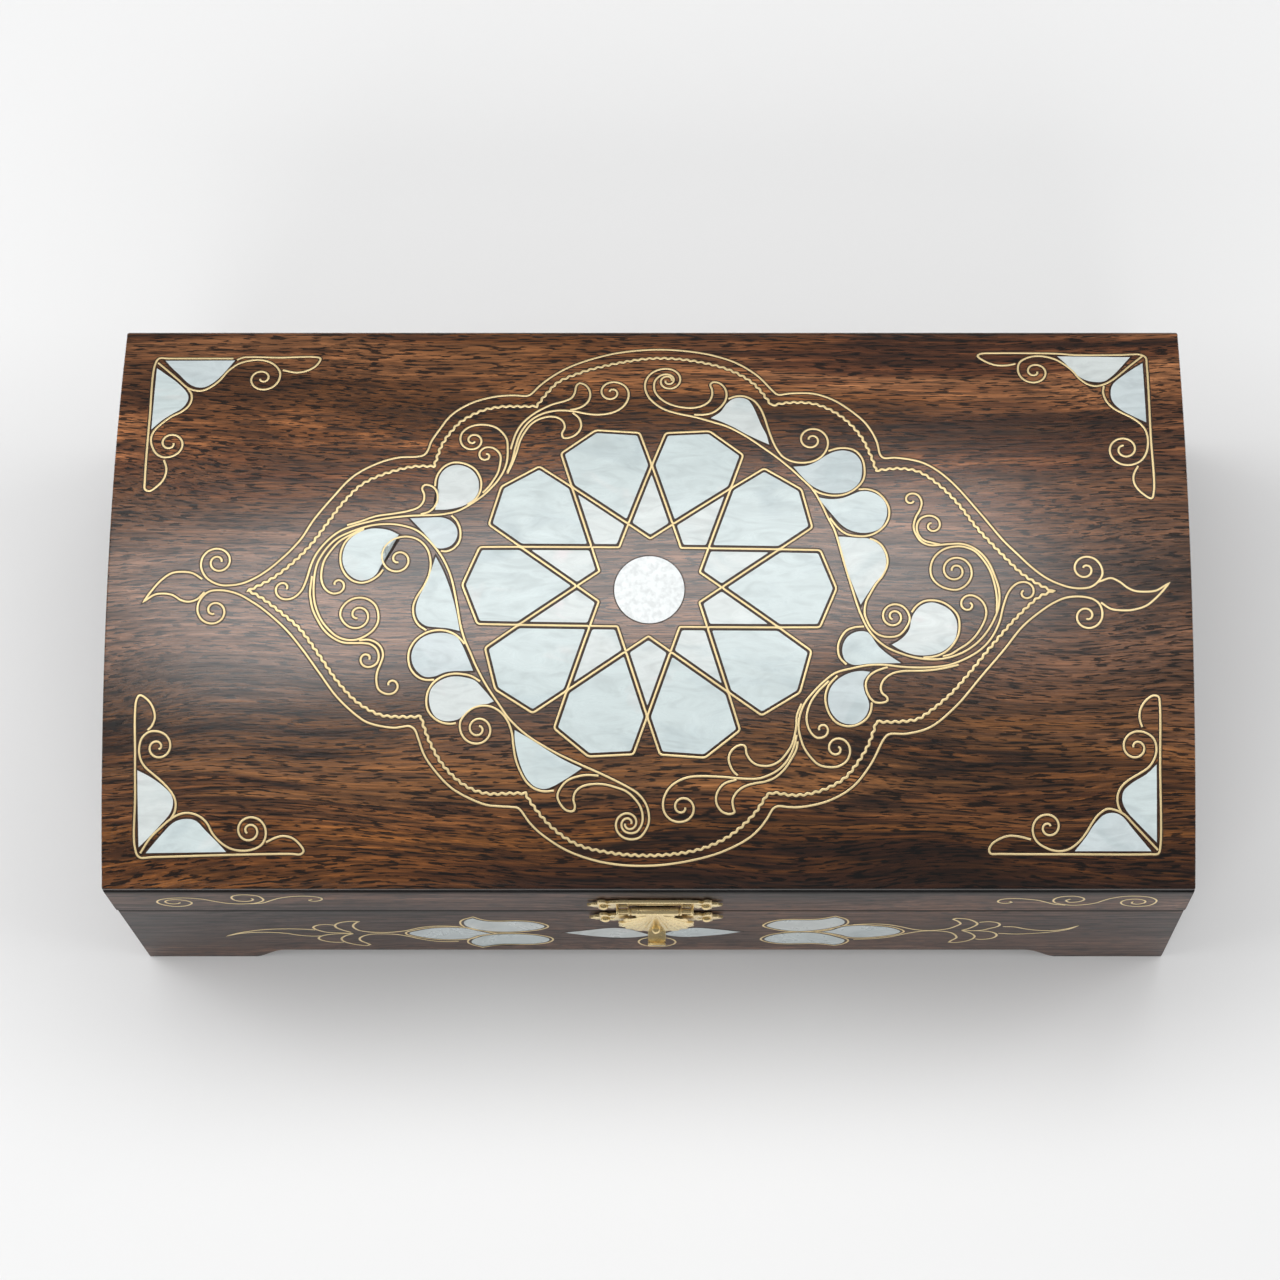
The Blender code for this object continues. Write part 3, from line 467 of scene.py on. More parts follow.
        (67.6, -6), (68.8, -4.4), (70.7, -3.1), (73, -2.8), (75.5, -3.3), (77.8, -4.8), (79.5, -6.9),
        (79.9, -9.2), (79.5, -12.1), (78, -14.8), (75.9, -16.7), (73.4, -17.7), (70.5, -18)], None),
    "leaf_spiral_right": (None, [
        (57, 14), (58.4, 13.5), (60.1, 12.1), (61.3, 9.6), (61.5, 7.1), (60.4, 4.2), (58.4, 1.5), (57, -1),
        (55.9, -3.2), (55.5, -6.3), (56.1, -8.3), (57.4, -10.6), (59.3, -12.1), (61.8, -12.6),
        (64.3, -12.1), (66.1, -10.2), (67.1, -7.9)], (63, -7.2, 1.7, 0.8)),
    "half_petal_right": (None, [
        (55.3, -9.8), (53, -10), (50.9, -10.8), (49.5, -12.5), (48.6, -15), (49, -17.9),
        (50.7, -19.8)], None),
    "lobe_1_right": (None, [
        (54.3, 28), (56.3, 28.1), (58.8, 27.3), (60.9, 25.2), (62.1, 22.5), (62, 20), (60.9, 17.7),
        (58.8, 15.8), (56.3, 14.8), (53.4, 14.8), (50.9, 15.4), (48.8, 17.1), (46.8, 19.8)], None),
    "lobe_2_right": (None, [
        (46.5, 39.3), (49, 40.1), (51.5, 40.1), (53.6, 39.3), (55.3, 37), (55.9, 33.7), (55.5, 30.8),
        (54, 28.7), (52.2, 27.3), (50, 26.4), (47.5, 26.2), (44.5, 26.8), (42.5, 27.9)], None),
    "drop_right": (None, [
        (48.4, -22.7), (46.2, -25.2), (45.3, -28), (45.5, -30.5), (46.5, -33), (48.2, -34.9),
        (50.7, -35.8), (53.2, -35.5), (55.7, -34), (56.9, -32), (57.2, -29.7)], None),
    "back_scroll_right": (None, [
        (20.3, 55.4), (22.3, 56.2), (24.4, 56.2), (26.9, 54.9), (28.6, 52.6), (29.8, 49.5), (30.7, 46.2),
        (31.9, 42.4), (33.2, 39.5), (34.8, 37.4), (37.3, 36.1), (39.8, 35.8), (42.3, 36.2), (44.4, 37.4),
        (45.9, 39.5), (46.4, 42)], (42.1, 42.6, 1.5, 0.8)),
    "back_leaf_right": (None, [
        (11.3, 50.4), (13.8, 50.4), (15.9, 50.9), (18, 52.5), (19.5, 54.8), (19.8, 57.3), (19, 59.4),
        (17.6, 60.6), (16.1, 60.7), (15.5, 59.8), (15.9, 58.6), (16, 56.5), (15.1, 54.4), (13, 53),
        (10.5, 52.5), (7.2, 52.9), (4.7, 53.8), (2.6, 55.3), (1.1, 57.3), (0.7, 59), (0.9, 61.1),
        (2.2, 62.8)], (4.3, 61.2, -0.9, 0.6)),
    "front_hook_right": (None, [
        (39.2, -30), (38, -33), (37.8, -36), (37.1, -39.3), (36.5, -40.9), (35.3, -42.8), (33.6, -44.7),
        (31.5, -45.8), (29.4, -46), (27.3, -45.5), (25.9, -44.3), (25, -42.6), (24.8, -41.1), (24, -40.6),
        (22.3, -41.1), (20.9, -42.6), (20.5, -44.3), (20.9, -45.9), (21.7, -47.4), (22.8, -48.4)], None),
    "front_scroll_right": (None, [
        (37.9, -38), (37.5, -40.1), (36.7, -42.4), (35.3, -44.9), (33.2, -47), (30.7, -48.4),
        (28.2, -49.2), (25.3, -49.3), (22.3, -49.1), (19, -48.8), (13.5, -48.6), (10.6, -48.8),
        (8.1, -49.6), (5.6, -51.3), (4.1, -53.7), (3.7, -56.2), (4.3, -58.3),
        (6, -59.9)], (8.6, -56.6, 1.35, 0.8)),
    "front_leaf_right": (None, [
        (38.2, -39.7), (37.8, -41.8), (36.5, -44.3), (34.8, -46.8), (32.3, -49), (29.8, -50),
        (26.9, -50.5), (24.4, -51.3), (22.5, -52.8), (21.5, -54.7), (21.7, -56.8), (22, -57.8),
        (20.9, -58.3), (19, -57.8), (17.5, -55.9), (17.3, -53.8), (18, -52), (19.4, -50.5),
        (22.5, -49.5)], None),
    "corner_back_left_frame": (None, [
        (-127.1, 36.6), (-126.3, 34), (-126.8, 31), (-128.5, 28.8), (-130.3, 27.5), (-131.5, 28),
        (-131.7, 31), (-131.7, 49), (-131.6, 66.5), (-130.7, 68.6), (-128, 68.6), (-111, 68.6)], None),
    "corner_back_left_leg": (None, [
        (-110, 68.1), (-108.5, 68.9), (-106, 69.1), (-99, 68.9), (-89.5, 69.1), (-87.9, 68.6),
        (-88.8, 66.3), (-91, 64.6), (-94, 63.9), (-97.6, 64.7)], None),
    "corner_back_left_top": (None, [
        (-130.8, 67.1), (-125, 61.5), (-122.5, 59), (-120.5, 58.1), (-118.5, 58), (-116, 59.4),
        (-114, 61.5), (-112, 64.5), (-109.5, 66.8), (-106.5, 67.9), (-104, 68.1), (-101.5, 67.5),
        (-99.5, 66), (-98.3, 63.8)], (-102.9, 62, -1.5, 0.6)),
    "corner_back_left_side": (None, [
        (-122.3, 58.6), (-121.3, 57), (-121.1, 55), (-121.8, 53), (-123.5, 51.3), (-126, 49.8),
        (-128.5, 47.5), (-130.3, 45.3), (-130.9, 43), (-130.4, 40.5), (-129, 38.3),
        (-127, 37.4)], (-125.8, 41.6, 1.3, 0.9)),
    "corner_back_right_frame": (None, [
        (96.3, 66.8), (94, 66.3), (91, 66.4), (88.5, 67.5), (86.4, 69.4), (87, 70.1), (92, 70.4),
        (99, 70.4), (108, 70.2), (112, 69.8), (124, 69.8), (129.5, 69.9), (130.9, 69), (131.1, 66),
        (131, 44), (131.1, 27.5), (130.4, 25.4), (128.5, 26.5), (126.5, 28.8), (125.9, 31), (126.3, 33),
        (127.3, 34.8)], None),
    "corner_back_right_top": (None, [
        (130, 69.3), (127, 66.5), (121.8, 61.5), (120, 60.3), (117.5, 59.5), (115.3, 60), (113, 62),
        (111.3, 64.5), (109, 66.8), (106.5, 68.5), (103, 69.4), (100, 69), (97.5, 67.3)],
        (101.3, 64.2, 1.6, 0.7)),
    "corner_back_right_side": (None, [
        (119.4, 59.5), (119.1, 57.5), (119.8, 54.8), (121.5, 52.5), (124, 50.8), (126.5, 49.3),
        (128.5, 47.5), (129.8, 45.3), (130.2, 42), (129.5, 38.5), (128, 36.3)], (124, 39.8, -1.6, 1.2)),
    "corner_front_left_frame": (None, [
        (-128.3, -36.8), (-127.3, -35.8), (-126.5, -33.5), (-127.3, -30.5), (-129, -28.5), (-130.5, -27.8),
        (-131.3, -29), (-131.4, -44), (-131.3, -54), (-131.4, -66.5), (-130.3, -69.3), (-126.5, -69.3),
        (-109, -68.8), (-91.5, -68.5), (-89, -68.6), (-88.2, -67.8), (-89, -66.3), (-91, -64.5),
        (-93.5, -63.9), (-95.5, -64.4), (-97.8, -65.5)], None),
    "corner_front_left_top": (None, [
        (-130, -68.3), (-127.5, -64.5), (-125, -62), (-122.5, -59.8), (-120.3, -58.5), (-117.8, -58),
        (-115, -58.8), (-113, -60.5), (-111.5, -63.3), (-109.5, -65.5), (-107, -67.1), (-104, -67.7),
        (-101, -67.3), (-98.8, -66)], (-102, -62.6, 1.75, 0.9)),
    "corner_front_left_side": (None, [
        (-122.3, -59.8), (-121.1, -57.5), (-121, -55), (-122, -52.8), (-124, -50.5), (-126.5, -48.3),
        (-128.8, -46.3), (-130, -44.3), (-130.4, -41.8), (-129.8, -39), (-128, -37.3)],
        (-125.7, -41.2, -1.5, 0.6)),
    "corner_front_right_frame": (None, [
        (126.4, -36), (125.8, -34), (126, -31.5), (127.3, -29.3), (129.3, -27.9), (130.7, -28.2),
        (131, -30), (130.9, -46.5), (130.9, -66.5), (130.4, -68.4), (128, -68.6), (109, -68.6),
        (90, -68.5), (87.5, -68.4), (87.1, -67.5), (87.8, -66), (89.5, -64.8), (92, -63.9), (94.5, -64),
        (97.8, -64.8)], None),
    "corner_front_right_top": (None, [
        (130.3, -67.5), (127, -64), (124, -60.8), (121.8, -58.5), (119.5, -57.3), (117.3, -57),
        (115, -58.5), (113.5, -60.5), (112, -63), (110, -65.5), (107.5, -67.3), (104.8, -67.8),
        (101.8, -67), (99.3, -65.3)], (102.3, -61.7, -1.55, 0.6)),
    "corner_front_right_side": (None, [
        (121, -58), (120.1, -56), (120, -53.5), (121, -51.3), (123, -49.5), (125.5, -48), (128, -46.3),
        (129.5, -44), (130, -41.5), (129.3, -39)], (124.9, -41.2, 1.43, 0.8)),
}

TWISTED_BORDER = [
    (-103.4, -0.2, 1), (-97.5, 3), (-92.5, 7.1), (-87.8, 12.2), (-83.7, 18.3), (-79.5, 24.6), (-74.9, 29.6),
    (-69.1, 32.6), (-62.8, 34.5), (-59.9, 34.8), (-56.5, 34.7, 1), (-54.6, 41.2), (-52.1, 45.5),
    (-49.8, 48.3), (-44.6, 51.6), (-39.2, 52.9), (-35, 53), (-30.2, 53, 1), (-27.1, 57.8), (-24.6, 60.8),
    (-17.8, 64.3), (-9.5, 66.9), (-1.2, 68.5), (4.7, 68.6), (12.2, 67.5), (20.7, 64.7), (26.9, 60.3),
    (30.7, 54.9), (31.7, 53.3, 1), (36.5, 54.2), (43.2, 53.7), (49.4, 50.3), (54.8, 44.1), (57.7, 37.5),
    (58.9, 33.5, 1), (65.1, 34.1), (70.1, 33.1), (75.5, 29), (80.1, 23.8), (85.1, 16.7), (92.5, 8.2),
    (96.2, 4.4), (99.8, 1.9), (104, -0.4, 1), (100.7, -1.8), (94.8, -7.2), (88, -15), (82.2, -22.1),
    (77.2, -27.7), (71.3, -32.5), (68.8, -34), (62.2, -34.7), (58.4, -34.6, 1), (56.1, -40.9),
    (52.3, -46.8), (49.4, -49.7), (43.2, -52.6), (37.3, -53.5), (31.8, -52.9), (30.3, -53.4, 1),
    (26.9, -58.4), (20.7, -63.9), (13.5, -67.2), (6.8, -68.5), (-1.5, -68.9), (-9.8, -68.2),
    (-18.2, -66.1), (-24.6, -61.8), (-30, -55.5), (-31.5, -53, 1), (-35, -53), (-41.7, -53), (-47.1, -50.9),
    (-52.5, -45.9), (-56.3, -39.3), (-58.4, -33.3, 1), (-62.8, -33.4), (-68.7, -32.9), (-74.5, -29.8),
    (-79.9, -24.2), (-84.9, -17.1), (-89.9, -10.4), (-94.3, -6.5), (-100.2, -2),
]

LID_PEARLS = {
    "comma_left": [
        (-65, 15.1, 1), (-67.4, 16.3), (-69.9, 16.8), (-72.8, 16.7), (-76.2, 15.2), (-78.3, 12.9),
        (-79.3, 10), (-79.2, 7.1), (-77.8, 4.4), (-75.8, 2.9), (-74.1, 2.5), (-71.6, 3.3), (-70.1, 5),
        (-69.9, 7.5), (-69.9, 10), (-68.9, 12.1), (-67, 14.2)],
    "comma_right": [
        (62.4, -14.6, 1), (64.3, -13.5), (65.9, -12.1), (67, -10.4), (67.4, -8.3), (68.2, -6.3),
        (70.1, -4.2), (72.6, -3.4), (75.1, -4), (77.6, -5.6), (79, -7.9), (79.3, -10), (78.6, -13.3),
        (76.8, -15.4), (74.7, -16.7), (71.3, -17.4), (68, -17.2), (64.7, -16)],
    "half_petal_left": [
        (-62.2, 19.7, 1), (-57.4, 19.9), (-53.7, 19.9), (-51.4, 18.8), (-50, 16.7), (-50, 14.2),
        (-51.4, 12.1), (-53.7, 11.3), (-55.3, 11.6), (-56.6, 13.3), (-59.1, 16.3)],
    "half_petal_right": [
        (64.7, -19.4, 1), (61.3, -17.1), (58.8, -14.8), (57, -12.1), (55.9, -11.2), (53.4, -11.2),
        (51.1, -12.5), (49.9, -14.6), (49.7, -16.7), (50.5, -18.8), (52.6, -19.9), (56.3, -19.6)],
    "drop_left": [
        (-55.8, 22.1, 1), (-52, 22.3), (-48, 23.5), (-46, 25), (-44.8, 27), (-44.6, 29), (-44.9, 31),
        (-46.3, 33.3), (-48.4, 34.7), (-50.7, 35.1), (-52.9, 34.4), (-54.5, 32.7), (-55.2, 30.4),
        (-54.9, 28), (-54.5, 25.8)],
    "drop_right": [
        (56.8, -21.7, 1), (54.3, -21.5), (51.3, -22.1), (48.5, -23.7), (46.7, -25.8), (46, -28.2),
        (46.2, -30.7), (47.3, -33), (49.2, -34.7), (51.3, -35.3), (53.4, -35), (55.5, -33.3),
        (56.5, -30.8), (56.3, -29.2), (55.3, -26.7), (55.1, -24.2)],
    "leaf_left": [
        (-55.3, 9, 1), (-56.6, 4.6), (-57.8, 1.3), (-59.5, -2.3), (-60.1, -5.4), (-59.3, -8.1),
        (-57.4, -9.6), (-54.5, -10), (-51.6, -10.3), (-48.7, -11, 1), (-49.6, -6.3), (-51, -1),
        (-51.9, 1.7), (-53.4, 5.4)],
    "leaf_right": [
        (54.5, -4, 1), (55.7, -2), (57, 0), (58.4, 2.1), (60.3, 4.2), (61.1, 6.7), (61.1, 8.8),
        (60.2, 11.3), (58.6, 13), (56.8, 14), (53.8, 14.2), (50.5, 14.5), (48.8, 14.6, 1), (50.1, 9.2),
        (51.3, 4.6), (52.8, 0.4)],
    "lobe_1_left": [
        (-49.4, -12.6), (-48.1, -14.5), (-46.6, -17.8), (-45.1, -21.4, 1), (-47.5, -21.5), (-50, -21.5),
        (-52.5, -21.9), (-55, -22.9), (-57.4, -23), (-59.3, -21.8), (-60.6, -19.8), (-61, -17.5),
        (-60.3, -15), (-58.6, -13), (-56.5, -11.9), (-54, -11.5), (-51.5, -11.7)],
    "lobe_1_right": [
        (43.6, 25.7, 1), (46.3, 25.2), (48.3, 25.2), (50.5, 25.6), (53, 26.7), (54.7, 27.4), (56.8, 27.4),
        (59.3, 26.3), (61.1, 24.2), (61.6, 21.7), (61.1, 19.2), (59.7, 16.9), (57.2, 15.8), (54.3, 15.7),
        (51.3, 16.7), (49.3, 18.3), (47.7, 20.3), (45.8, 22.7)],
    "lobe_2_left": [
        (-39.7, -29.4, 1), (-41.3, -30), (-43.3, -30.3), (-45.4, -31.3), (-47.5, -33), (-48.8, -34),
        (-51.3, -34.5), (-53.3, -34.2), (-55, -33), (-56.1, -30.5), (-56.3, -28), (-55.8, -26.2),
        (-54.4, -24.6), (-52, -23.3), (-49.5, -22.9), (-47, -23.2), (-44.6, -24), (-42.6, -26)],
    "lobe_2_right": [
        (37.3, 34.6, 1), (40.7, 34.9), (43.2, 36), (45.7, 37.8), (48.2, 39.1), (50.7, 39.4), (53.2, 38.5),
        (54.9, 36.2), (55.2, 33.3), (54.7, 30.5), (53.3, 28.6), (51.5, 27.4), (49.2, 26.9), (46.5, 27),
        (43.8, 28), (41.8, 29.3), (39.4, 31.9)],
    "crescent_left": [
        (-34.3, -36.8, 1), (-34.3, -38.8), (-33.7, -42.6), (-32.6, -46.3), (-31.1, -49.3), (-29, -51.3),
        (-26.7, -51.9), (-24.6, -51.3), (-22.1, -49.9), (-20, -48.6), (-17.1, -46.6, 1), (-20.8, -44.9),
        (-24.2, -43), (-27.5, -40.9), (-30.8, -38.8)],
    "crescent_right": [
        (15.7, 49.3, 1), (18.2, 51.2), (19.8, 53.7), (21.5, 55.3), (23.4, 55.7), (25.3, 55.1),
        (26.5, 53.5), (27.8, 50.3), (29, 47), (30.3, 44.1), (31, 41.2, 1), (28.2, 42.6), (24.8, 44.5),
        (21.5, 46.6), (18.2, 48.3)],
    "corner_back_left_top": [
        (-128.9, 67.8, 1), (-127, 65.4), (-125, 63.3), (-122, 60.1), (-120, 59.1), (-118, 59.1),
        (-116, 60.3), (-114, 62.5), (-112, 65.5), (-110.5, 67.9, 1)],
    "corner_back_left_side": [
        (-131, 65.3, 1), (-131, 45.8, 1), (-128.5, 48.5), (-126, 50.5), (-123.3, 52.5), (-122, 55),
        (-122.3, 57), (-125, 60.3), (-128.5, 63.3)],
    "corner_back_right_top": [
        (107.5, 69.3, 1), (109.5, 67), (112, 63.5), (114.5, 61.5), (117, 60.8), (119.5, 61), (122, 63),
        (126.8, 69, 1)],
    "corner_back_right_side": [
        (130, 67, 1), (127, 64.8), (124, 62.3), (121.8, 60), (121.1, 57.5), (121.5, 54.5), (123.5, 52),
        (126.5, 50), (130, 48, 1)],
    "corner_front_left_top": [
        (-128.6, -68.3, 1), (-124.5, -63.5), (-121.5, -60.5), (-119, -59.6), (-116, -59.9),
        (-113, -62.8), (-110.5, -65.3), (-108, -68, 1)],
    "corner_front_left_side": [
        (-130.8, -47.1, 1), (-127.5, -48.8), (-124, -51.3), (-122, -53.5), (-121.6, -55.5),
        (-122.3, -58), (-125, -61.3), (-128.5, -65), (-130.4, -66.8, 1)],
    "corner_front_right_top": [
        (109, -67.8, 1), (112, -64), (114, -61), (116.5, -58.5), (119, -58), (121, -58.8),
        (124, -62.3), (128.6, -67.8, 1)],
    "corner_front_right_side": [
        (130, -45.6, 1), (127.5, -48), (123.5, -50.5), (121.5, -52.5), (121.2, -55), (122.3, -57.5),
        (125, -60.5), (130, -65.6, 1)],
}


# ---------------------------------------------------------------- the front's inlay
LID_FRONT_WIRES = {
    "scroll_left": ((-123.2, -28.6, 1.0, 1.2), [
        (-118.9, -29.3), (-120.5, -32.4), (-123.5, -33.5), (-126.6, -31.6), (-127.8, -28.5), (-126.6, -25.5),
        (-123.5, -23.7), (-119.7, -23.4), (-115.8, -24.7), (-112.8, -27.4), (-109.7, -29.7), (-106.2, -30.5),
        (-102.8, -29.7), (-100.1, -26.6), (-100.1, -23.5), (-101.2, -20.8), (-104.3, -19.7), (-107, -20.8),
        (-107.9, -23.5), (-107, -26.6), (-104.3, -27.4), (-102.6, -25.8), (-102.8, -23.9)], None),
    "branch_left": (None, [
        (-104, -30.4), (-100.5, -29.3), (-98.2, -26.6), (-95.8, -23.9), (-92.8, -22), (-88.9, -21.2),
        (-86.2, -22), (-84.7, -23.9), (-85.2, -26.2), (-87, -27.4), (-88.2, -26.2), (-87.2, -25.1)], None),
    "scroll_right": (None, [
        (108.8, -24.7), (107.8, -26.6), (108.9, -28.5), (111.2, -27.8), (112.4, -25.5), (111.8, -23.2),
        (109.7, -21.4), (107, -21.6), (105.1, -23.5), (104.5, -26.2), (105.1, -28.9), (107, -30.8),
        (109.7, -32), (113.2, -31.2), (115.8, -29.3), (117.4, -26.6), (119.3, -23.9), (122.4, -21.6),
        (125.5, -21.2), (128.9, -22.4), (131.1, -25.8), (131.1, -29.3), (129.7, -32.4), (126.6, -33.5),
        (123.5, -32), (122.2, -28.9), (123.2, -25.8), (125.8, -24.7), (128.2, -26.6), (128.3, -29.3),
        (126.6, -30.8), (125.1, -29.7), (125.2, -27.8)], None),
    "branch_right": (None, [
        (108, -32), (105.1, -30.8), (102.8, -28.5), (100.5, -26.2), (97.4, -24.7), (94.3, -23.9),
        (91.6, -24.7), (90.3, -26.6), (90.6, -28.9), (92.4, -29.8), (93.9, -28.5), (93.2, -27.4)], None),
}

BASE_FRONT_WIRES = {
    "tip_left": (None, [
        (-90.5, -62), (-94.3, -60.8), (-98.2, -60.6), (-102.8, -61.2), (-107.4, -63.2), (-111.2, -65.8),
        (-114.9, -69.7, 1), (-111.2, -66.6), (-107.4, -65.1), (-102.8, -65.1), (-98.9, -66.2),
        (-95.8, -68.5), (-92.8, -69.8), (-89.3, -69.7)], None),
    "bud_back_left": (None, [
        (-80.8, -66.4), (-84.3, -65.8), (-87.4, -65.1), (-89.7, -62.4), (-90.6, -59.7), (-90.5, -58.2),
        (-88.9, -55.8), (-86.6, -55.2), (-84.7, -56.2)], None),
    "bud_low_left": (None, [
        (-80.8, -66.8), (-85, -67), (-88.2, -68.5), (-90.1, -70.8), (-90.6, -73.5), (-89.3, -76.2),
        (-87, -77.8), (-84.3, -77.8)], None),
    "leaf_high_left": (None, [
        (-81.2, -65.1), (-83.2, -62), (-84.5, -58.9), (-84.3, -55.1), (-82.4, -52.4), (-79.3, -51.1),
        (-77.9, -51.6, 1), (-78.9, -53.5), (-79.8, -56.6), (-79.7, -59.7), (-78.5, -62.8), (-75.8, -64.7),
        (-71.2, -65.1), (-66.6, -63.2), (-62, -59), (-59, -57.5), (-56, -57), (-53, -57.5), (-51, -58.5)],
        None),
    "leaf_low_left": (None, [
        (-80.8, -66.8), (-83.2, -69.7), (-84.5, -73.5), (-83.9, -77.4), (-81.6, -80.5), (-78.5, -82.2),
        (-77.4, -80.8, 1), (-78.2, -78.9), (-79.5, -75.8), (-79.5, -72.8), (-78.2, -69.7), (-75.8, -67.4),
        (-72.8, -67), (-68.9, -67.8), (-62.8, -73.8), (-60, -76), (-56.5, -77), (-53, -76.5)], None),
    "tip_right": (None, [
        (93.5, -57.8), (96.6, -58.2), (98.9, -60.1), (102, -62), (105.1, -62.8), (108.2, -62.4),
        (111.2, -60.1), (113.4, -57, 1), (111.2, -61.2), (107.4, -64.3), (102.8, -66.2), (97.4, -67.2),
        (92.8, -66.2)], None),
    "bud_back_right": (None, [
        (82.8, -62.8), (86, -62.9), (88.2, -62.2), (90.1, -60.1), (92, -57.8), (92.5, -55.1),
        (91.6, -52.8), (89.3, -51.6), (87, -52.4)], None),
    "bud_low_right": (None, [
        (82.8, -62.8), (87.4, -63.1), (90.5, -64.3), (92.2, -67), (92.4, -70.1), (91.2, -72.8),
        (88.5, -74.2), (87, -73.5)], None),
    "leaf_high_right": (None, [
        (82.8, -62.4), (84.3, -60.5), (85.8, -57.4), (86.5, -54.3), (85.5, -51.2), (83.5, -48.5),
        (80.5, -47.5), (79.8, -48.7, 1), (81.2, -51.2), (82, -54.3), (80.8, -57.4), (79.3, -60.1),
        (76.6, -62), (72.8, -62.6), (69.7, -61.2), (66.6, -58.2), (63, -55.4), (60, -54.5), (57, -54.5),
        (53.5, -55.3)], None),
    "leaf_low_right": (None, [
        (83.2, -63.2), (85.1, -65.8), (86.6, -69.7), (86.2, -73.5), (84.3, -76.6), (81.6, -78.3),
        (80.1, -77.8, 1), (80.5, -75.8), (81.8, -72), (81.2, -68.2), (79.7, -65.1), (77, -63.4),
        (72.8, -63.4), (68.9, -65.8), (65.1, -69.7), (63, -71.5), (60, -73), (57, -73.7), (54, -74)], None),
}

BASE_FRONT_PEARLS = {
    "high_left": [
        (-47.3, -47.5, 1), (-49, -49.5), (-49.9, -52), (-49.9, -55.5), (-49, -58.5), (-47, -61),
        (-44.5, -63), (-41, -64), (-38, -64), (-34.5, -63), (-31, -61), (-29, -58.5), (-29, -56.5),
        (-31, -53.5), (-33.5, -52), (-36.5, -51.5), (-40, -51.9), (-43.5, -51.5), (-46, -49.5)],
    "low_left": [
        (-46.8, -83.2, 1), (-48.5, -81), (-49.5, -78.5), (-49.3, -75.5), (-47.5, -72), (-45, -69.3),
        (-42, -68), (-38.5, -67.5), (-35, -67.8), (-31.5, -69.3), (-28.8, -72), (-28.3, -74.5),
        (-29.5, -77.5), (-32, -79.3), (-36, -79.8), (-41, -79.8), (-44.5, -81.5)],
    "leaf_left": [
        (-43.8, -66.5, 1), (-47, -63.5), (-49.5, -60.5), (-52.5, -59.3), (-56, -59.3), (-59.5, -60.3),
        (-63, -63), (-65.3, -65.4), (-65.3, -67.6), (-62.5, -70.8), (-59.5, -72.8), (-56, -73.8),
        (-52, -73.5), (-49.5, -72), (-47.5, -69)],
    "high_right": [
        (48.5, -46.3, 1), (50.3, -48.5), (51.1, -51.5), (50.8, -54.5), (49, -57.5), (46.5, -60),
        (43.5, -62), (40, -63.3), (36.5, -62.8), (33.5, -60.8), (31.3, -58.5), (30.5, -56.8),
        (31.3, -54), (33.5, -51), (36.5, -49.8), (40, -49.8), (43, -49.8), (45.5, -48.8)],
    "low_right": [
        (49, -81, 1), (46, -79.3), (43, -78.7), (39, -79), (35, -79), (32, -77.5), (30, -74.5),
        (30.5, -71.5), (33, -68), (36.5, -66), (40, -65.5), (43, -65.7), (46.5, -68), (49.5, -71.5),
        (51.5, -74.5), (51.5, -77), (50.5, -79.5)],
    "leaf_right": [
        (45.3, -64.5, 1), (48, -62.5), (50.5, -58.5), (53, -57), (56, -56.5), (59, -57.3), (62.5, -58.5),
        (65, -61), (66.3, -64), (65, -67), (62.5, -69), (59, -70.7), (56, -71.4), (53, -70.9),
        (50.5, -68), (48.5, -66.3)],
    "spindle_left": [
        (-23.6, -65.5, 1), (-17.5, -62.5), (-11.3, -59.6), (-7.5, -60.2), (-3.8, -64.4), (-1.1, -68.1, 1),
        (-1.9, -69.4), (-5.6, -71.4), (-10, -71.6), (-16.3, -69.7)],
    "spindle_right": [
        (23.4, -64.5, 1), (15, -60.3), (11.3, -59.4), (7.2, -61.5), (4.2, -65), (2.6, -67.5, 1),
        (6.3, -70.3), (10.6, -70.5), (18.1, -67.8)],
}


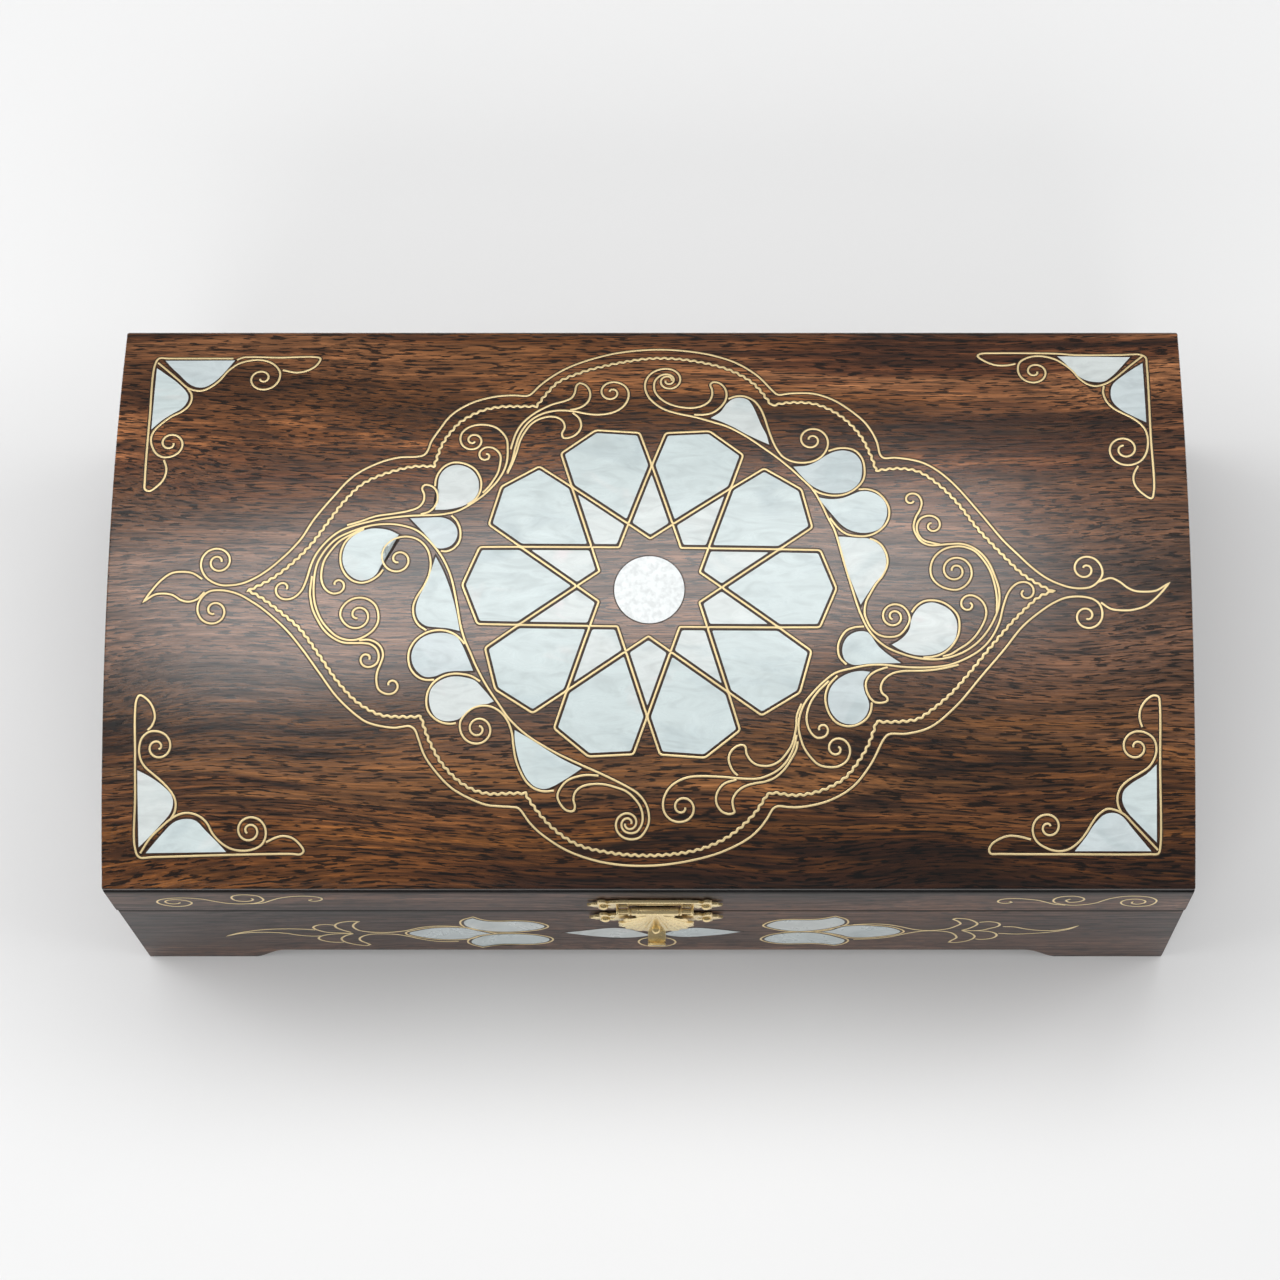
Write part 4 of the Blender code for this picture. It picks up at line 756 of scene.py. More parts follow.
# ---------------------------------------------------------------- materials
class Paint:
    """A material's node tree, with short ways to add nodes and join them."""

    def __init__(self, name, **values):
        self.material = bpy.data.materials.new(name)
        self.material.use_nodes = True
        self.tree = self.material.node_tree
        self.shader = self.tree.nodes["Principled BSDF"]
        self.place = self.add("TexCoord").outputs["Object"]
        self.finish(**values)

    def join(self, socket, value):
        if isinstance(value, bpy.types.NodeSocket):
            self.tree.links.new(value, socket)
        else:
            socket.default_value = value

    def add(self, kind, settings=None, **values):
        node = self.tree.nodes.new("ShaderNode" + kind)
        for name, value in (settings or {}).items():
            setattr(node, name, value)
        for name, value in values.items():
            self.join(node.inputs[name.replace("_", " ")], value)
        return node

    def finish(self, **values):
        """Sets the shader's inputs by name."""
        for name, value in values.items():
            self.join(self.shader.inputs[name.replace("_", " ")], value)

    def math(self, operation, *values):
        node = self.add("Math", {"operation": operation})
        for socket, value in zip(node.inputs, values):
            self.join(socket, value)
        return node.outputs[0]

    def scaled(self, colour, factor):
        node = self.add("VectorMath", {"operation": "SCALE"}, Scale=factor)
        self.join(node.inputs[0], colour)
        return node.outputs[0]

    def mixed(self, share, one, other):
        return self.add("MixRGB", Fac=share, Color1=one, Color2=other).outputs[0]

    def noise(self, waves, detail=4.0, roughness=0.55, distortion=0.0, at=None, shift=(0, 0, 0)):
        """Noise with so many waves per metre along x, y and z."""
        place = self.add("Mapping", Vector=at or self.place, Scale=waves, Location=shift)
        return self.add("TexNoise", Vector=place.outputs[0], Scale=1.0, Detail=detail,
                        Roughness=roughness, Distortion=distortion).outputs[0]

    def spread(self, value, low, high, least=0.0, most=1.0):
        """The value's stretch from low to high, spread over least to most."""
        node = self.add("MapRange", Value=value, From_Min=low, From_Max=high, To_Min=least, To_Max=most)
        return node.outputs[0]

    def ramp(self, value, *stops):
        node = self.add("ValToRGB", Fac=value)
        elements = node.color_ramp.elements
        while len(elements) < len(stops):
            elements.new(0.5)
        for element, (place, colour) in zip(elements, stops):
            element.position = place
            element.color = (*colour, 1.0)
        return node.outputs[0]

    def bump(self, height, distance):
        """Shading relief of the given depth in millimetres."""
        node = self.add("Bump", Height=height, Distance=distance * METRES, Strength=1.0)
        self.finish(Normal=node.outputs[0])


def walnut(name, grain, tones, across=None, gloss=0.25, coat=0.6, shine=0.9, warmth=0.6, seam_shade=()):
    """Oiled walnut. Its fibres run along the axis grain. The ramp of tones goes by the axis across, as
    (axis, low, high) in millimetres, or by broad streaks. Near each seam, given as a height and a reach in
    millimetres, the wood is painted dark and dull: painted shade for the shadow in a joint's gap or under an
    overhang."""
    paint = Paint(name)

    def waves(along, other):
        return [along if axis == grain else other for axis in range(3)]

    sway = paint.noise(waves(5, 11), detail=2)
    bend = paint.math("MULTIPLY", paint.math("SUBTRACT", sway, 0.5), 0.030)
    step = paint.add("CombineXYZ", **{"XYZ"[(grain + 1) % 3]: bend, "XYZ"[(grain + 2) % 3]: bend})
    moved = paint.add("VectorMath", {"operation": "ADD"})
    paint.join(moved.inputs[0], paint.place)
    paint.join(moved.inputs[1], step.outputs[0])
    bent = moved.outputs[0]

    broad = paint.noise(waves(5, 48), detail=3, at=bent)
    streak = paint.noise(waves(26, 850), detail=5, roughness=0.66, at=bent)
    fibre = paint.noise(waves(90, 2900), detail=3, at=bent)
    pore = paint.noise(waves(210, 2000), detail=2, roughness=0.4, at=bent, shift=(3.1, 7.7, 1.3))
    warm = paint.spread(paint.noise([6, 22, 22], detail=3, shift=(1.7, 0.4, 5.2)), 0.46, 0.66)
    if across:
        axis, low, high = across
        split = paint.add("SeparateXYZ", Vector=bent)
        level = paint.spread(split.outputs[axis], low * METRES, high * METRES)
        rim = paint.math("ABSOLUTE", paint.math("SUBTRACT", level, 0.5))
        warm = paint.math("MULTIPLY", warm, paint.spread(rim, 0.15, 0.36, 0.15, 1.0))
        warm = paint.math("MULTIPLY", warm, paint.spread(split.outputs[0], -0.14, 0.14, 0.4, 1.6))
        level = paint.math("ADD", level, paint.spread(broad, 0.3, 0.7, -0.09, 0.09))
        band = paint.noise(waves(9, 260), detail=4, at=bent)
        level = paint.math("ADD", level, paint.spread(band, 0.3, 0.7, -0.06, 0.06))
    else:
        level = paint.spread(broad, 0.32, 0.68)
    colour = paint.ramp(level, *tones)
    colour = paint.mixed(paint.math("MULTIPLY", warm, warmth), colour, (0.215, 0.075, 0.015, 1))
    shade = paint.math("MULTIPLY", paint.spread(streak, 0.34, 0.66, 0.32, 1.75),
                       paint.spread(fibre, 0.3, 0.7, 0.55, 1.45))
    shade = paint.math("MULTIPLY", shade, paint.spread(broad, 0.34, 0.66, 0.55, 1.45))
    solid = paint.math("SUBTRACT", 1.0, paint.math("MULTIPLY", paint.spread(pore, 0.55, 0.585), 0.88))
    shade = paint.math("MULTIPLY", shade, solid)
    height = paint.add("SeparateXYZ", Vector=paint.place).outputs[2]
    # painted shade: towards each seam the wood's colour and shine fall to 6 percent
    for seam, reach in seam_shade:
        away = paint.math("ABSOLUTE", paint.math("SUBTRACT", height, seam * METRES))
        unshaded = paint.spread(away, 0.4 * reach * METRES, reach * METRES, 0.06, 1.0)
        shade = paint.math("MULTIPLY", shade, unshaded)
        shine = paint.math("MULTIPLY", shine, unshaded)
    paint.finish(Base_Color=paint.scaled(colour, shade), Coat_Weight=coat, Coat_Roughness=0.2,
                 Specular_IOR_Level=shine,
                 Roughness=paint.spread(streak, 0.3, 0.7, gloss + 0.08, gloss - 0.04))
    paint.bump(fibre, 0.02)
    return paint.material


def mother_of_pearl(name, dull, pale, blush, shift):
    """Polished shell: soft clouds of slightly different whites, finely layered."""
    paint = Paint(name)
    cloud = paint.noise([38, 52, 38], detail=3, distortion=1.4, shift=shift)
    layer = paint.noise([70, 210, 70], detail=4, distortion=2.2, shift=shift)
    colour = paint.ramp(cloud, (0.30, dull), (0.48, pale), (0.62, pale), (0.76, blush))
    shade = paint.spread(layer, 0.32, 0.68, 0.88, 1.09)
    paint.finish(Base_Color=paint.scaled(colour, shade), Coat_Weight=0.25, Coat_Roughness=0.10,
                 Roughness=paint.spread(layer, 0.3, 0.7, 0.36, 0.24))
    return paint.material


def speckled_pearl(name):
    paint = Paint(name)
    speck = paint.noise([620, 620, 620], detail=2)
    cloud = paint.noise([60, 60, 60], detail=3)
    shade = paint.math("MULTIPLY", paint.spread(speck, 0.36, 0.58, 0.84, 1.03),
                       paint.spread(cloud, 0.3, 0.7, 0.95, 1.04))
    paint.finish(Base_Color=paint.scaled((0.68, 0.71, 0.71), shade), Roughness=0.28, Coat_Weight=0.4)
    return paint.material


def brass(name, colour, roughness, wear, metallic=1.0):
    paint = Paint(name, Metallic=metallic)
    rub = paint.noise([240, 240, 240], detail=4)
    tarnish = paint.noise([55, 55, 55], detail=3)
    shade = paint.spread(tarnish, 0.35, 0.75, 1.05, 1.0 - wear)
    paint.finish(Base_Color=paint.scaled(colour, shade),
                 Roughness=paint.spread(rub, 0.3, 0.7, roughness - 0.05, roughness + 0.08))
    return paint.material


def dark_paste(name):
    paint = Paint(name, Roughness=0.42)
    grit = paint.noise([900, 900, 900], detail=2)
    paint.finish(Base_Color=paint.scaled((0.030, 0.014, 0.008), paint.spread(grit, 0.3, 0.7, 0.6, 1.5)))
    return paint.material


def velvet(name, colour):
    paint = Paint(name, Roughness=0.95, Sheen_Weight=0.8, Sheen_Roughness=0.35)
    nap = paint.noise([35, 35, 35], detail=3)
    pile = paint.noise([1500, 1500, 1500], detail=2)
    paint.finish(Base_Color=paint.scaled(colour, paint.spread(nap, 0.3, 0.7, 0.75, 1.25)))
    paint.bump(pile, 0.15)
    return paint.material


def plain_floor(name, tone):
    paint = Paint(name, Roughness=0.7)
    grain = paint.noise([3, 3, 3], detail=2)
    paint.finish(Base_Color=paint.scaled((tone, tone, tone), paint.spread(grain, 0.3, 0.7, 0.995, 1.005)))
    return paint.material


TOP_TONES = (  # from the lid's front edge to its back edge
    (0.00, (0.030, 0.010, 0.004)), (0.03, (0.075, 0.025, 0.006)), (0.06, (0.014, 0.005, 0.003)),
    (0.09, (0.130, 0.046, 0.010)), (0.125, (0.030, 0.010, 0.004)), (0.16, (0.110, 0.040, 0.011)),
    (0.19, (0.020, 0.008, 0.004)), (0.24, (0.125, 0.050, 0.015)), (0.30, (0.070, 0.031, 0.014)),
    (0.42, (0.100, 0.046, 0.024)), (0.55, (0.110, 0.052, 0.028)), (0.68, (0.098, 0.042, 0.019)),
    (0.77, (0.060, 0.022, 0.010)), (0.84, (0.200, 0.078, 0.030)), (0.90, (0.250, 0.104, 0.042)),
    (0.96, (0.090, 0.030, 0.011)), (1.00, (0.035, 0.012, 0.005)),
)
BOARD_TONES = ((0.0, (0.020, 0.009, 0.006)), (0.5, (0.044, 0.020, 0.013)), (1.0, (0.078, 0.038, 0.024)))
PLY_TONES = ((0.0, (0.27, 0.16, 0.08)), (1.0, (0.40, 0.27, 0.15)))
# the boards' seams carry painted shade: a narrow band on the base's top for the shadow in the gap under the
# lid, and a wide one on the rails' top for the shadow under the top board
BOARD_LOOKS = {"gloss": 0.40, "coat": 0, "shine": 0.3, "warmth": 0.15,
               "seam_shade": ((BASE_HIGH.z - 1.3, 1.1), (RAIL_HIGH.z, 5.0))}
# painted shade on the top board's lip just over the rails: it dims the highlight on the rounded edge and
# paints the joint's shadow
WALNUT_TOP = walnut("walnut_top", 0, TOP_TONES, (1, -76, 78), seam_shade=((RAIL_HIGH.z, 1.7),))
WALNUT_ALONG = walnut("walnut_boards", 0, BOARD_TONES, **BOARD_LOOKS)
WALNUT_ACROSS = walnut("walnut_side_boards", 1, BOARD_TONES, **BOARD_LOOKS)
PEARLS = [
    mother_of_pearl("pearl_cool", (0.46, 0.53, 0.54), (0.53, 0.60, 0.60), (0.60, 0.62, 0.61), (0, 0, 0)),
    mother_of_pearl("pearl_pale", (0.51, 0.57, 0.57), (0.58, 0.62, 0.61), (0.64, 0.61, 0.61), (3, 5, 1)),
    mother_of_pearl("pearl_grey", (0.44, 0.51, 0.52), (0.52, 0.58, 0.59), (0.57, 0.61, 0.61), (7, 2, 4)),
]
PEARL_CENTRE = speckled_pearl("pearl_centre")
WIRE_BRASS = brass("wire_brass", (0.92, 0.72, 0.38), 0.42, 0.15, metallic=0.5)
POLISHED_BRASS = brass("polished_brass", (0.95, 0.74, 0.38), 0.17, 0.10, metallic=0.8)
SATIN_BRASS = brass("satin_brass", (1.00, 0.80, 0.44), 0.26, 0.12, metallic=0.8)
PASTE = dark_paste("dark_paste")
VELVET = velvet("velvet", (0.150, 0.010, 0.016))
PLYWOOD = walnut("plywood", 0, PLY_TONES, gloss=0.66, coat=0, shine=0.4, warmth=0)


# ---------------------------------------------------------------- the wooden parts
def outer_edges(shape, height):
    """The edges that lie at a height on the outside of the box."""
    def outside(vert):
        x, y, z = vert.co
        reach = min(HALF_LENGTH - abs(x), y - FRONT_Y, BACK_Y - y)
        return abs(z - height) < 0.05 and reach < 0.4
    return [edge for edge in shape.edges if all(outside(vert) for vert in edge.verts)]


def round_over(shape, edges, width, segments):
    bmesh.ops.bevel(shape, geom=edges, offset=width, offset_type="OFFSET", segments=segments, profile=0.5,
                    affect="EDGES", clamp_overlap=True)


def bevelled(node, name, looks, body, width=0.35, softened=()):
    """A copy of a CAD node with its facets joined and its sharp edges broken. softened has the heights of
    outer edges that are rounded more, each with its width."""
    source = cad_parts[node]
    shape = bmesh.new()
    shape.from_mesh(source.data)
    shape.transform(source.matrix_world)
    shape.transform(Matrix.Scale(1 / METRES, 4))
    bmesh.ops.remove_doubles(shape, verts=shape.verts, dist=0.002)
    bmesh.ops.dissolve_limit(shape, angle_limit=math.radians(0.5), verts=shape.verts, edges=shape.edges)
    for height, wide in softened:
        round_over(shape, outer_edges(shape, height), wide, 4)
    sharp = [edge for edge in shape.edges
             if len(edge.link_faces) == 2 and edge.calc_face_angle() > math.radians(SHARP_ANGLE)
             and edge.calc_length() > 2 * width]
    round_over(shape, sharp, width, 2)
    made = new_piece(name, shape, looks, body)
    for polygon in made.data.polygons:
        polygon.use_smooth = polygon.area < WIDE_FACE
    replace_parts(made, node)
    return made


def lid_dome():
    """The lid's top board: an even arch over a low lip, with its long edges rounded."""
    rounded_over, foot, reach = 1.6, 0.4, DOME_RADIUS - SKIN
    edge = math.asin(HALF_DEPTH / reach) - rounded_over / reach
    arch_steps, corner_steps = 110, 6
    arch = []
    for i in range(arch_steps + 1):
        angle = edge - 2 * edge * i / arch_steps
        arch.append(Vector((MIDDLE_Y + reach * math.sin(angle),
                            CROWN_Z - DOME_RADIUS + reach * math.cos(angle))))
    low, start = TOP_LOW.z, arch[-1]
    corner, end = Vector((FRONT_Y, start.y - 0.1)), Vector((FRONT_Y, low + foot))
    rounding = []
    for i in range(1, corner_steps):
        u = i / corner_steps
        rounding.append(start * (1 - u) ** 2 + corner * 2 * u * (1 - u) + end * u**2)
    behind = [Vector((2 * MIDDLE_Y - point.x, point.y)) for point in reversed(rounding)]
    profile = [Vector((BACK_Y - 0.6, low)), Vector((BACK_Y, low + foot))] + behind + arch + rounding
    profile += [Vector((FRONT_Y, low + foot)), Vector((FRONT_Y + 0.6, low))]
    shape = bmesh.new()
    loops = []
    for x, inset in ((-HALF_LENGTH, 0.5), (-HALF_LENGTH + 0.15, 0.15), (-HALF_LENGTH + 0.5, 0.0),
                     (HALF_LENGTH - 0.5, 0.0), (HALF_LENGTH - 0.15, 0.15), (HALF_LENGTH, 0.5)):
        loops.append([shape.verts.new((x, point.x, point.y)) for point in offset(profile, -inset)])
    skin(shape, loops)
    made = new_piece("lid_dome", shape, WALNUT_TOP, "lid")
    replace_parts(made, "lid_top_board")


lid_dome()
for side, looks in (("front", WALNUT_ALONG), ("back", WALNUT_ALONG),
                    ("left", WALNUT_ACROSS), ("right", WALNUT_ACROSS)):
    bevelled(f"base_{side}_board", f"base_{side}_wood", looks, "base",
             softened=((BASE_LOW.z, 1.6), (BASE_HIGH.z, 0.5)))
    bevelled(f"lid_{side}_rail", f"lid_{side}_wood", looks, "lid",
             softened=((RAIL_LOW.z, 0.45), (RAIL_HIGH.z, 1.1)))
bevelled("base_bottom_panel", "base_bottom_wood", PLYWOOD, "base")
for node, body in (("base_floor_pad", "base"), ("base_wall_lining", "base"), ("lid_lining", "lid")):
    bevelled(node, node + "_velvet", VELVET, body, width=0.4)


# ---------------------------------------------------------------- inlay
BODY_UNDER = {on_lid: "lid", on_lid_front: "lid", on_base_front: "base"}
paste = {surface: bmesh.new() for surface in BODY_UNDER}
laid = 0  # inlay pieces so far, for their small differences in height and the choice of shell


def lay_wire(name, line, surface, closed=False, width=WIRE, beside=WIRE_PASTE_AND_SHADOW):
    """A wire of its own, and the line of dark paste that it lies in, which also paints the wire's shadow
    beside it.
    """
    global laid
    laid += 1
    shape = bmesh.new()
    line = finely(line, closed)
    add_strip(shape, line, surface, width, WIRE_TALL + 0.004 * (laid % 4), closed)
    if beside:
        add_strip(paste[surface], line, surface, beside, FILLER_TALL + 0.002 * (laid % 5), closed)
    new_piece("wire_" + name, shape, WIRE_BRASS, BODY_UNDER[surface])


def lay_pearl(name, outline, surface, bed=PEARL_BED, looks=None):
    """A piece of shell of its own, and the paste round it."""
    global laid
    laid += 1
    shape = bmesh.new()
    add_slab(shape, outline, surface, PEARL_TALL)
    if bed:
        add_slab(paste[surface], offset(outline, bed), surface, FILLER_TALL + 0.010 + 0.002 * (laid % 5))
    looks = looks or PEARLS[laid * 7 % len(PEARLS)]
    return new_piece("pearl_" + name, shape, looks, BODY_UNDER[surface])


for name, path in LID_WIRES.items():
    lay_wire(name, drawn(*path), on_lid)
lay_wire("twisted_border", twisted(smooth_line(TWISTED_BORDER, True)), on_lid, closed=True,
         width=TWISTED_WIRE)
for name, path in LID_FRONT_WIRES.items():
    lay_wire("lid_" + name, drawn(*path), on_lid_front, width=LID_FRONT_WIRE)
for name, path in BASE_FRONT_WIRES.items():
    lay_wire("base_" + name, drawn(*path), on_base_front, width=BASE_FRONT_WIRE)
for name, points in LID_PEARLS.items():
    lay_pearl(name, counter_clockwise(smooth_line(points, True)), on_lid)
for name, points in BASE_FRONT_PEARLS.items():
    outline = counter_clockwise(smooth_line(points, True))
    lay_pearl("base_" + name, outline, on_base_front)
    if not name.startswith("spindle"):
        lay_wire("base_rim_" + name, offset(outline, RIM_GAP, 0.4), on_base_front, closed=True, beside=0)


def on_star(radius, degrees):
    angle = math.radians(degrees + STAR_TURN)
    return Vector((radius * math.cos(angle) * STAR_WIDE, STAR_T + radius * math.sin(angle) / STAR_WIDE))


half = 180 / STAR_FOLDS
zigzag = []
for i in range(STAR_FOLDS):
    middle = 2 * half * i
    petal = [on_star(*corner) for corner in (
        (PETAL_INNER, middle), (PETAL_WAIST, middle - half), (PETAL_SHOULDER, middle - SHOULDER_ANGLE),
        (PETAL_TIP, middle), (PETAL_SHOULDER, middle + SHOULDER_ANGLE), (PETAL_WAIST, middle + half))]
    kite = [on_star(*corner) for corner in (
        (KITE_INNER, middle + half), (PETAL_INNER, middle), (PETAL_WAIST, middle + half),
        (PETAL_INNER, middle + 2 * half))]
    for kind, polygon, node in (("petal", petal, "rosette_petal"), ("kite", kite, "rosette_kite")):
        add_slab(paste[on_lid], polygon, on_lid, FILLER_TALL + 0.02)
        shell = rounded(offset(polygon, -PEARL_INSET, 0.1), 0.5)
        made = lay_pearl(f"star_{kind}_{i + 1:02}", shell, on_lid, bed=0)
        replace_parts(made, f"{node}_{i + 1:02}")
    lay_wire(f"star_petal_{i + 1:02}", rounded(petal, 0.8), on_lid, closed=True)
    zigzag += [on_star(PETAL_INNER, middle), on_star(KITE_INNER, middle + half)]
lay_wire("star_zigzag", rounded(zigzag, 0.4), on_lid, closed=True)
disc = ellipse(0, CENTRE_T, CENTRE_RADIUS, CENTRE_RADIUS, 72)
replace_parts(lay_pearl("star_centre", disc, on_lid, bed=0.3, looks=PEARL_CENTRE), "rosette_centre")
for surface, shape in paste.items():
    new_piece("paste_" + surface.__name__, shape, PASTE, BODY_UNDER[surface])


# ---------------------------------------------------------------- the clasp
CLASP_X, PIN_Z, PIN_OUT = 1.3, 68.5, 2.05  # the clasp's middle, and its pin's height and reach
UPPER_WING, LOWER_WING = 1.8, -14.2  # the plates' middles above the pin
PLATE_BACK, PLATE_FRONT, PLATE_RIM = 0.3, 1.1, 0.22  # reach of a plate's faces, and of its softened edge
NAIL_X, NAIL_HEAD, NAIL_DOME, NAIL_SHANK = 13.3, 1.2, 0.75, 0.4  # nail's place, radius, crown and shank
NAIL_DEEP, NAIL_LONG = 1.0, 5.0  # depth of a nail's head, and of the whole nail
HASP_BACK, HASP_THICK = 1.8, 0.25  # reach of the shell's back, and its thickness at the rim
RIBS, RIB_TALL, SHELL_SWELL = 66, 0.40, 0.25  # ribs in a full turn, their height, and the shell's swell
SHELL_STEPS, SHELL_RIM = 22, 0.06  # points along a rib, and the share of it that runs out flat
KNOB_DROP, KNOB_OUT = 13.5, 4.0  # the knob's place below the pin and out from the lid's face
KNOB, KNOB_NECK, KNOB_FOOT = 1.15, 0.62, 1.0  # radii of the knob
LUGS, LUG_WIDTH, KNUCKLE = (6.4, 9.4), 0.6, (-6.2, 6.2)  # across from the clasp's middle
BARREL, BARREL_EDGE = 1.15, 0.15  # radius of the lugs and the knuckle, and how much their ends are softened
TAB_HALF, TAB_EDGE = 2.35, 0.12  # half the finger tab's width, and how much its sides are softened

# A point with a third number is a sharp corner.
WING = [  # a plate's right end from the bottom round to the top, as across and up from the plate's middle
    (10.4, -2.6, 1), (11.0, -3.3), (12.2, -2.5), (12.9, -3.9), (14.0, -4.1), (14.9, -3.0), (14.8, -1.7),
    (15.9, -1.5), (16.5, -0.8), (17.6, 0.0, 1), (16.5, 0.8), (15.9, 1.5), (14.8, 1.7), (14.9, 3.0),
    (14.0, 4.1), (12.9, 3.9), (12.3, 2.6), (11.2, 3.6), (10.4, 3.4, 1)]
FAN = [  # the shell's right edge from the top down, as across and up from the pin
    (5.9, -0.9, 1), (5.4, -4.5), (5.0, -7.6, 1), (6.8, -8.6), (8.4, -10.8), (8.6, -12.2, 1), (9.9, -13.8),
    (9.7, -16.2, 1), (9.9, -18.0), (8.3, -19.6, 1), (8.2, -21.3), (6.3, -22.3, 1), (5.6, -23.8),
    (3.7, -23.9, 1), (2.35, -24.6, 1)]
TAB = [  # the finger tab's side view, as out from the lid's face and up from the pin
    (2.3, -24.4, 1), (3.6, -24.9), (4.7, -25.0), (5.7, -24.5), (6.2, -23.5), (6.25, -22.4, 1),
    (5.7, -22.4, 1), (5.55, -23.3), (4.7, -24.3), (3.6, -24.2), (2.3, -23.5, 1)]


def at_clasp(across, out, up):
    return Vector((CLASP_X + across, FRONT_Y - out, PIN_Z + up))


def mirrored(half):
    """The whole outline, counter-clockwise, of a right half that starts at the bottom."""
    return half + [(-point[0], *point[1:]) for point in reversed(half)]


def fill(shape, loops):
    """Faces over the first loop, with the others as holes."""
    edges = []
    for loop in loops:
        for one, other in zip(loop, loop[1:] + loop[:1]):
            edges.append(shape.edges.get((one, other)) or shape.edges.new((one, other)))
    bmesh.ops.triangle_fill(shape, use_beauty=True, edges=edges)


def add_pierced(shape, outline, holes, up, under=0.0):
    """A plate with holes and a softened face, on a surface that is so far under the lid's front."""
    back, front = PLATE_BACK - under, PLATE_FRONT - under
    section = ((back, 0.0), (front - PLATE_RIM, 0.0), (front - PLATE_RIM * 0.3, PLATE_RIM * 0.3),
               (front, PLATE_RIM))
    layers = []
    for loop, grow in [(outline, -1)] + [(hole, 1) for hole in holes]:
        rings = []
        for out, inset in section:
            rings.append([shape.verts.new(at_clasp(point.x, out, up + point.y))
                          for point in offset(loop, grow * inset)])
        bridge(shape, rings)
        layers.append(rings)
    fill(shape, [rings[0] for rings in layers])
    fill(shape, [rings[-1] for rings in layers])


def nail_hole(x, up, radius):
    return ellipse(x, up, radius, radius, 20)


def slot_hole(x, other_x, low, high):
    left, right = sorted((x, other_x))
    corners = ((left, low), (right, low), (right, high), (left, high))
    return rounded([Vector(corner) for corner in corners], 0.4)


def add_turned(shape, profile, start, axis, sides=36):
    """A solid of revolution. The profile has radius and distance along the axis."""
    axis = Vector(axis).normalized()
    side = axis.orthogonal().normalized()
    other = axis.cross(side)
    rings = []
    for radius, along in profile:
        ring = []
        for k in range(sides):
            angle = 2 * math.pi * k / sides
            arm = (side * math.cos(angle) + other * math.sin(angle)) * radius
            ring.append(shape.verts.new(start + axis * along + arm))
        rings.append(ring)
    skin(shape, rings)


def add_barrel(shape, low, high):
    """One knuckle on the clasp's pin, with softened ends."""
    slim = BARREL - BARREL_EDGE
    profile = [(slim, low), (BARREL, low + BARREL_EDGE), (BARREL, high - BARREL_EDGE), (slim, high)]
    add_turned(shape, profile, at_clasp(0, PIN_OUT, 0), (1, 0, 0))


def upper_plate():
    """The lid's plate: pierced wings, a frame round each lug and a slot over the knuckle."""
    raised = [(x, up + UPPER_WING, *corner) for x, up, *corner in WING]
    half = [(0, 2.2, 1), (6.7, 2.2, 1), (6.7, -0.2, 1), (9.8, -0.2, 1)] + raised
    half += [(9.4, 5.5, 1), (0, 5.5, 1)]
    outline = smooth_line([point for point in mirrored(half) if point[0]], True)
    holes = [slot_hole(-2.2, 2.2, 3.0, 3.9)]
    for side in (-1, 1):
        holes.append(nail_hole(side * 12.0, UPPER_WING + 0.6, 0.5))
        holes.append(slot_hole(side * 7.2, side * 9.3, 0.4, 4.1))
    shape = bmesh.new()
    add_pierced(shape, outline, holes, 0.0)
    for side in (-1, 1):
        for x in LUGS:
            add_barrel(shape, *sorted((side * x, side * (x + LUG_WIDTH))))
    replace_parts(new_piece("clasp_upper_plate_pierced", shape, SATIN_BRASS, "lid", 40),
                "clasp_upper_plate")


def lower_plate():
    half = [(0, -4.2, 1), (8.6, -4.2), (9.6, -3.2)] + WING + [(9.6, 3.2), (8.6, 4.2), (0, 4.2, 1)]
    outline = smooth_line([point for point in mirrored(half) if point[0]], True)
    shape = bmesh.new()
    add_pierced(shape, outline, [nail_hole(side * 11.6, 0.0, 0.55) for side in (-1, 1)], LOWER_WING,
                BASE_SET_BACK)
    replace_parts(new_piece("clasp_lower_plate_pierced", shape, SATIN_BRASS, "base", 40),
                "clasp_lower_plate")


def nails():
    """Round-headed nails, two in each plate."""
    profile = [(NAIL_HEAD * math.sin(a), NAIL_DOME * (1 - math.cos(a)))
               for a in (0.05 + 1.5 * k / 6 for k in range(7))]
    profile += [(NAIL_HEAD, NAIL_DEEP), (NAIL_SHANK, NAIL_DEEP), (NAIL_SHANK, NAIL_LONG)]
    for label, body, up, under in (("upper", "lid", UPPER_WING, 0.0),
                                   ("lower", "base", LOWER_WING, BASE_SET_BACK)):
        for i, x in enumerate((-NAIL_X, NAIL_X)):
            shape = bmesh.new()
            add_turned(shape, profile, at_clasp(x, PLATE_FRONT + NAIL_DEEP - under, up), (0, 1, 0), 24)
            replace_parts(new_piece(f"clasp_{label}_nail_{i + 1}_round", shape, POLISHED_BRASS, body),
                        f"clasp_{label}_nail_{i + 1}")


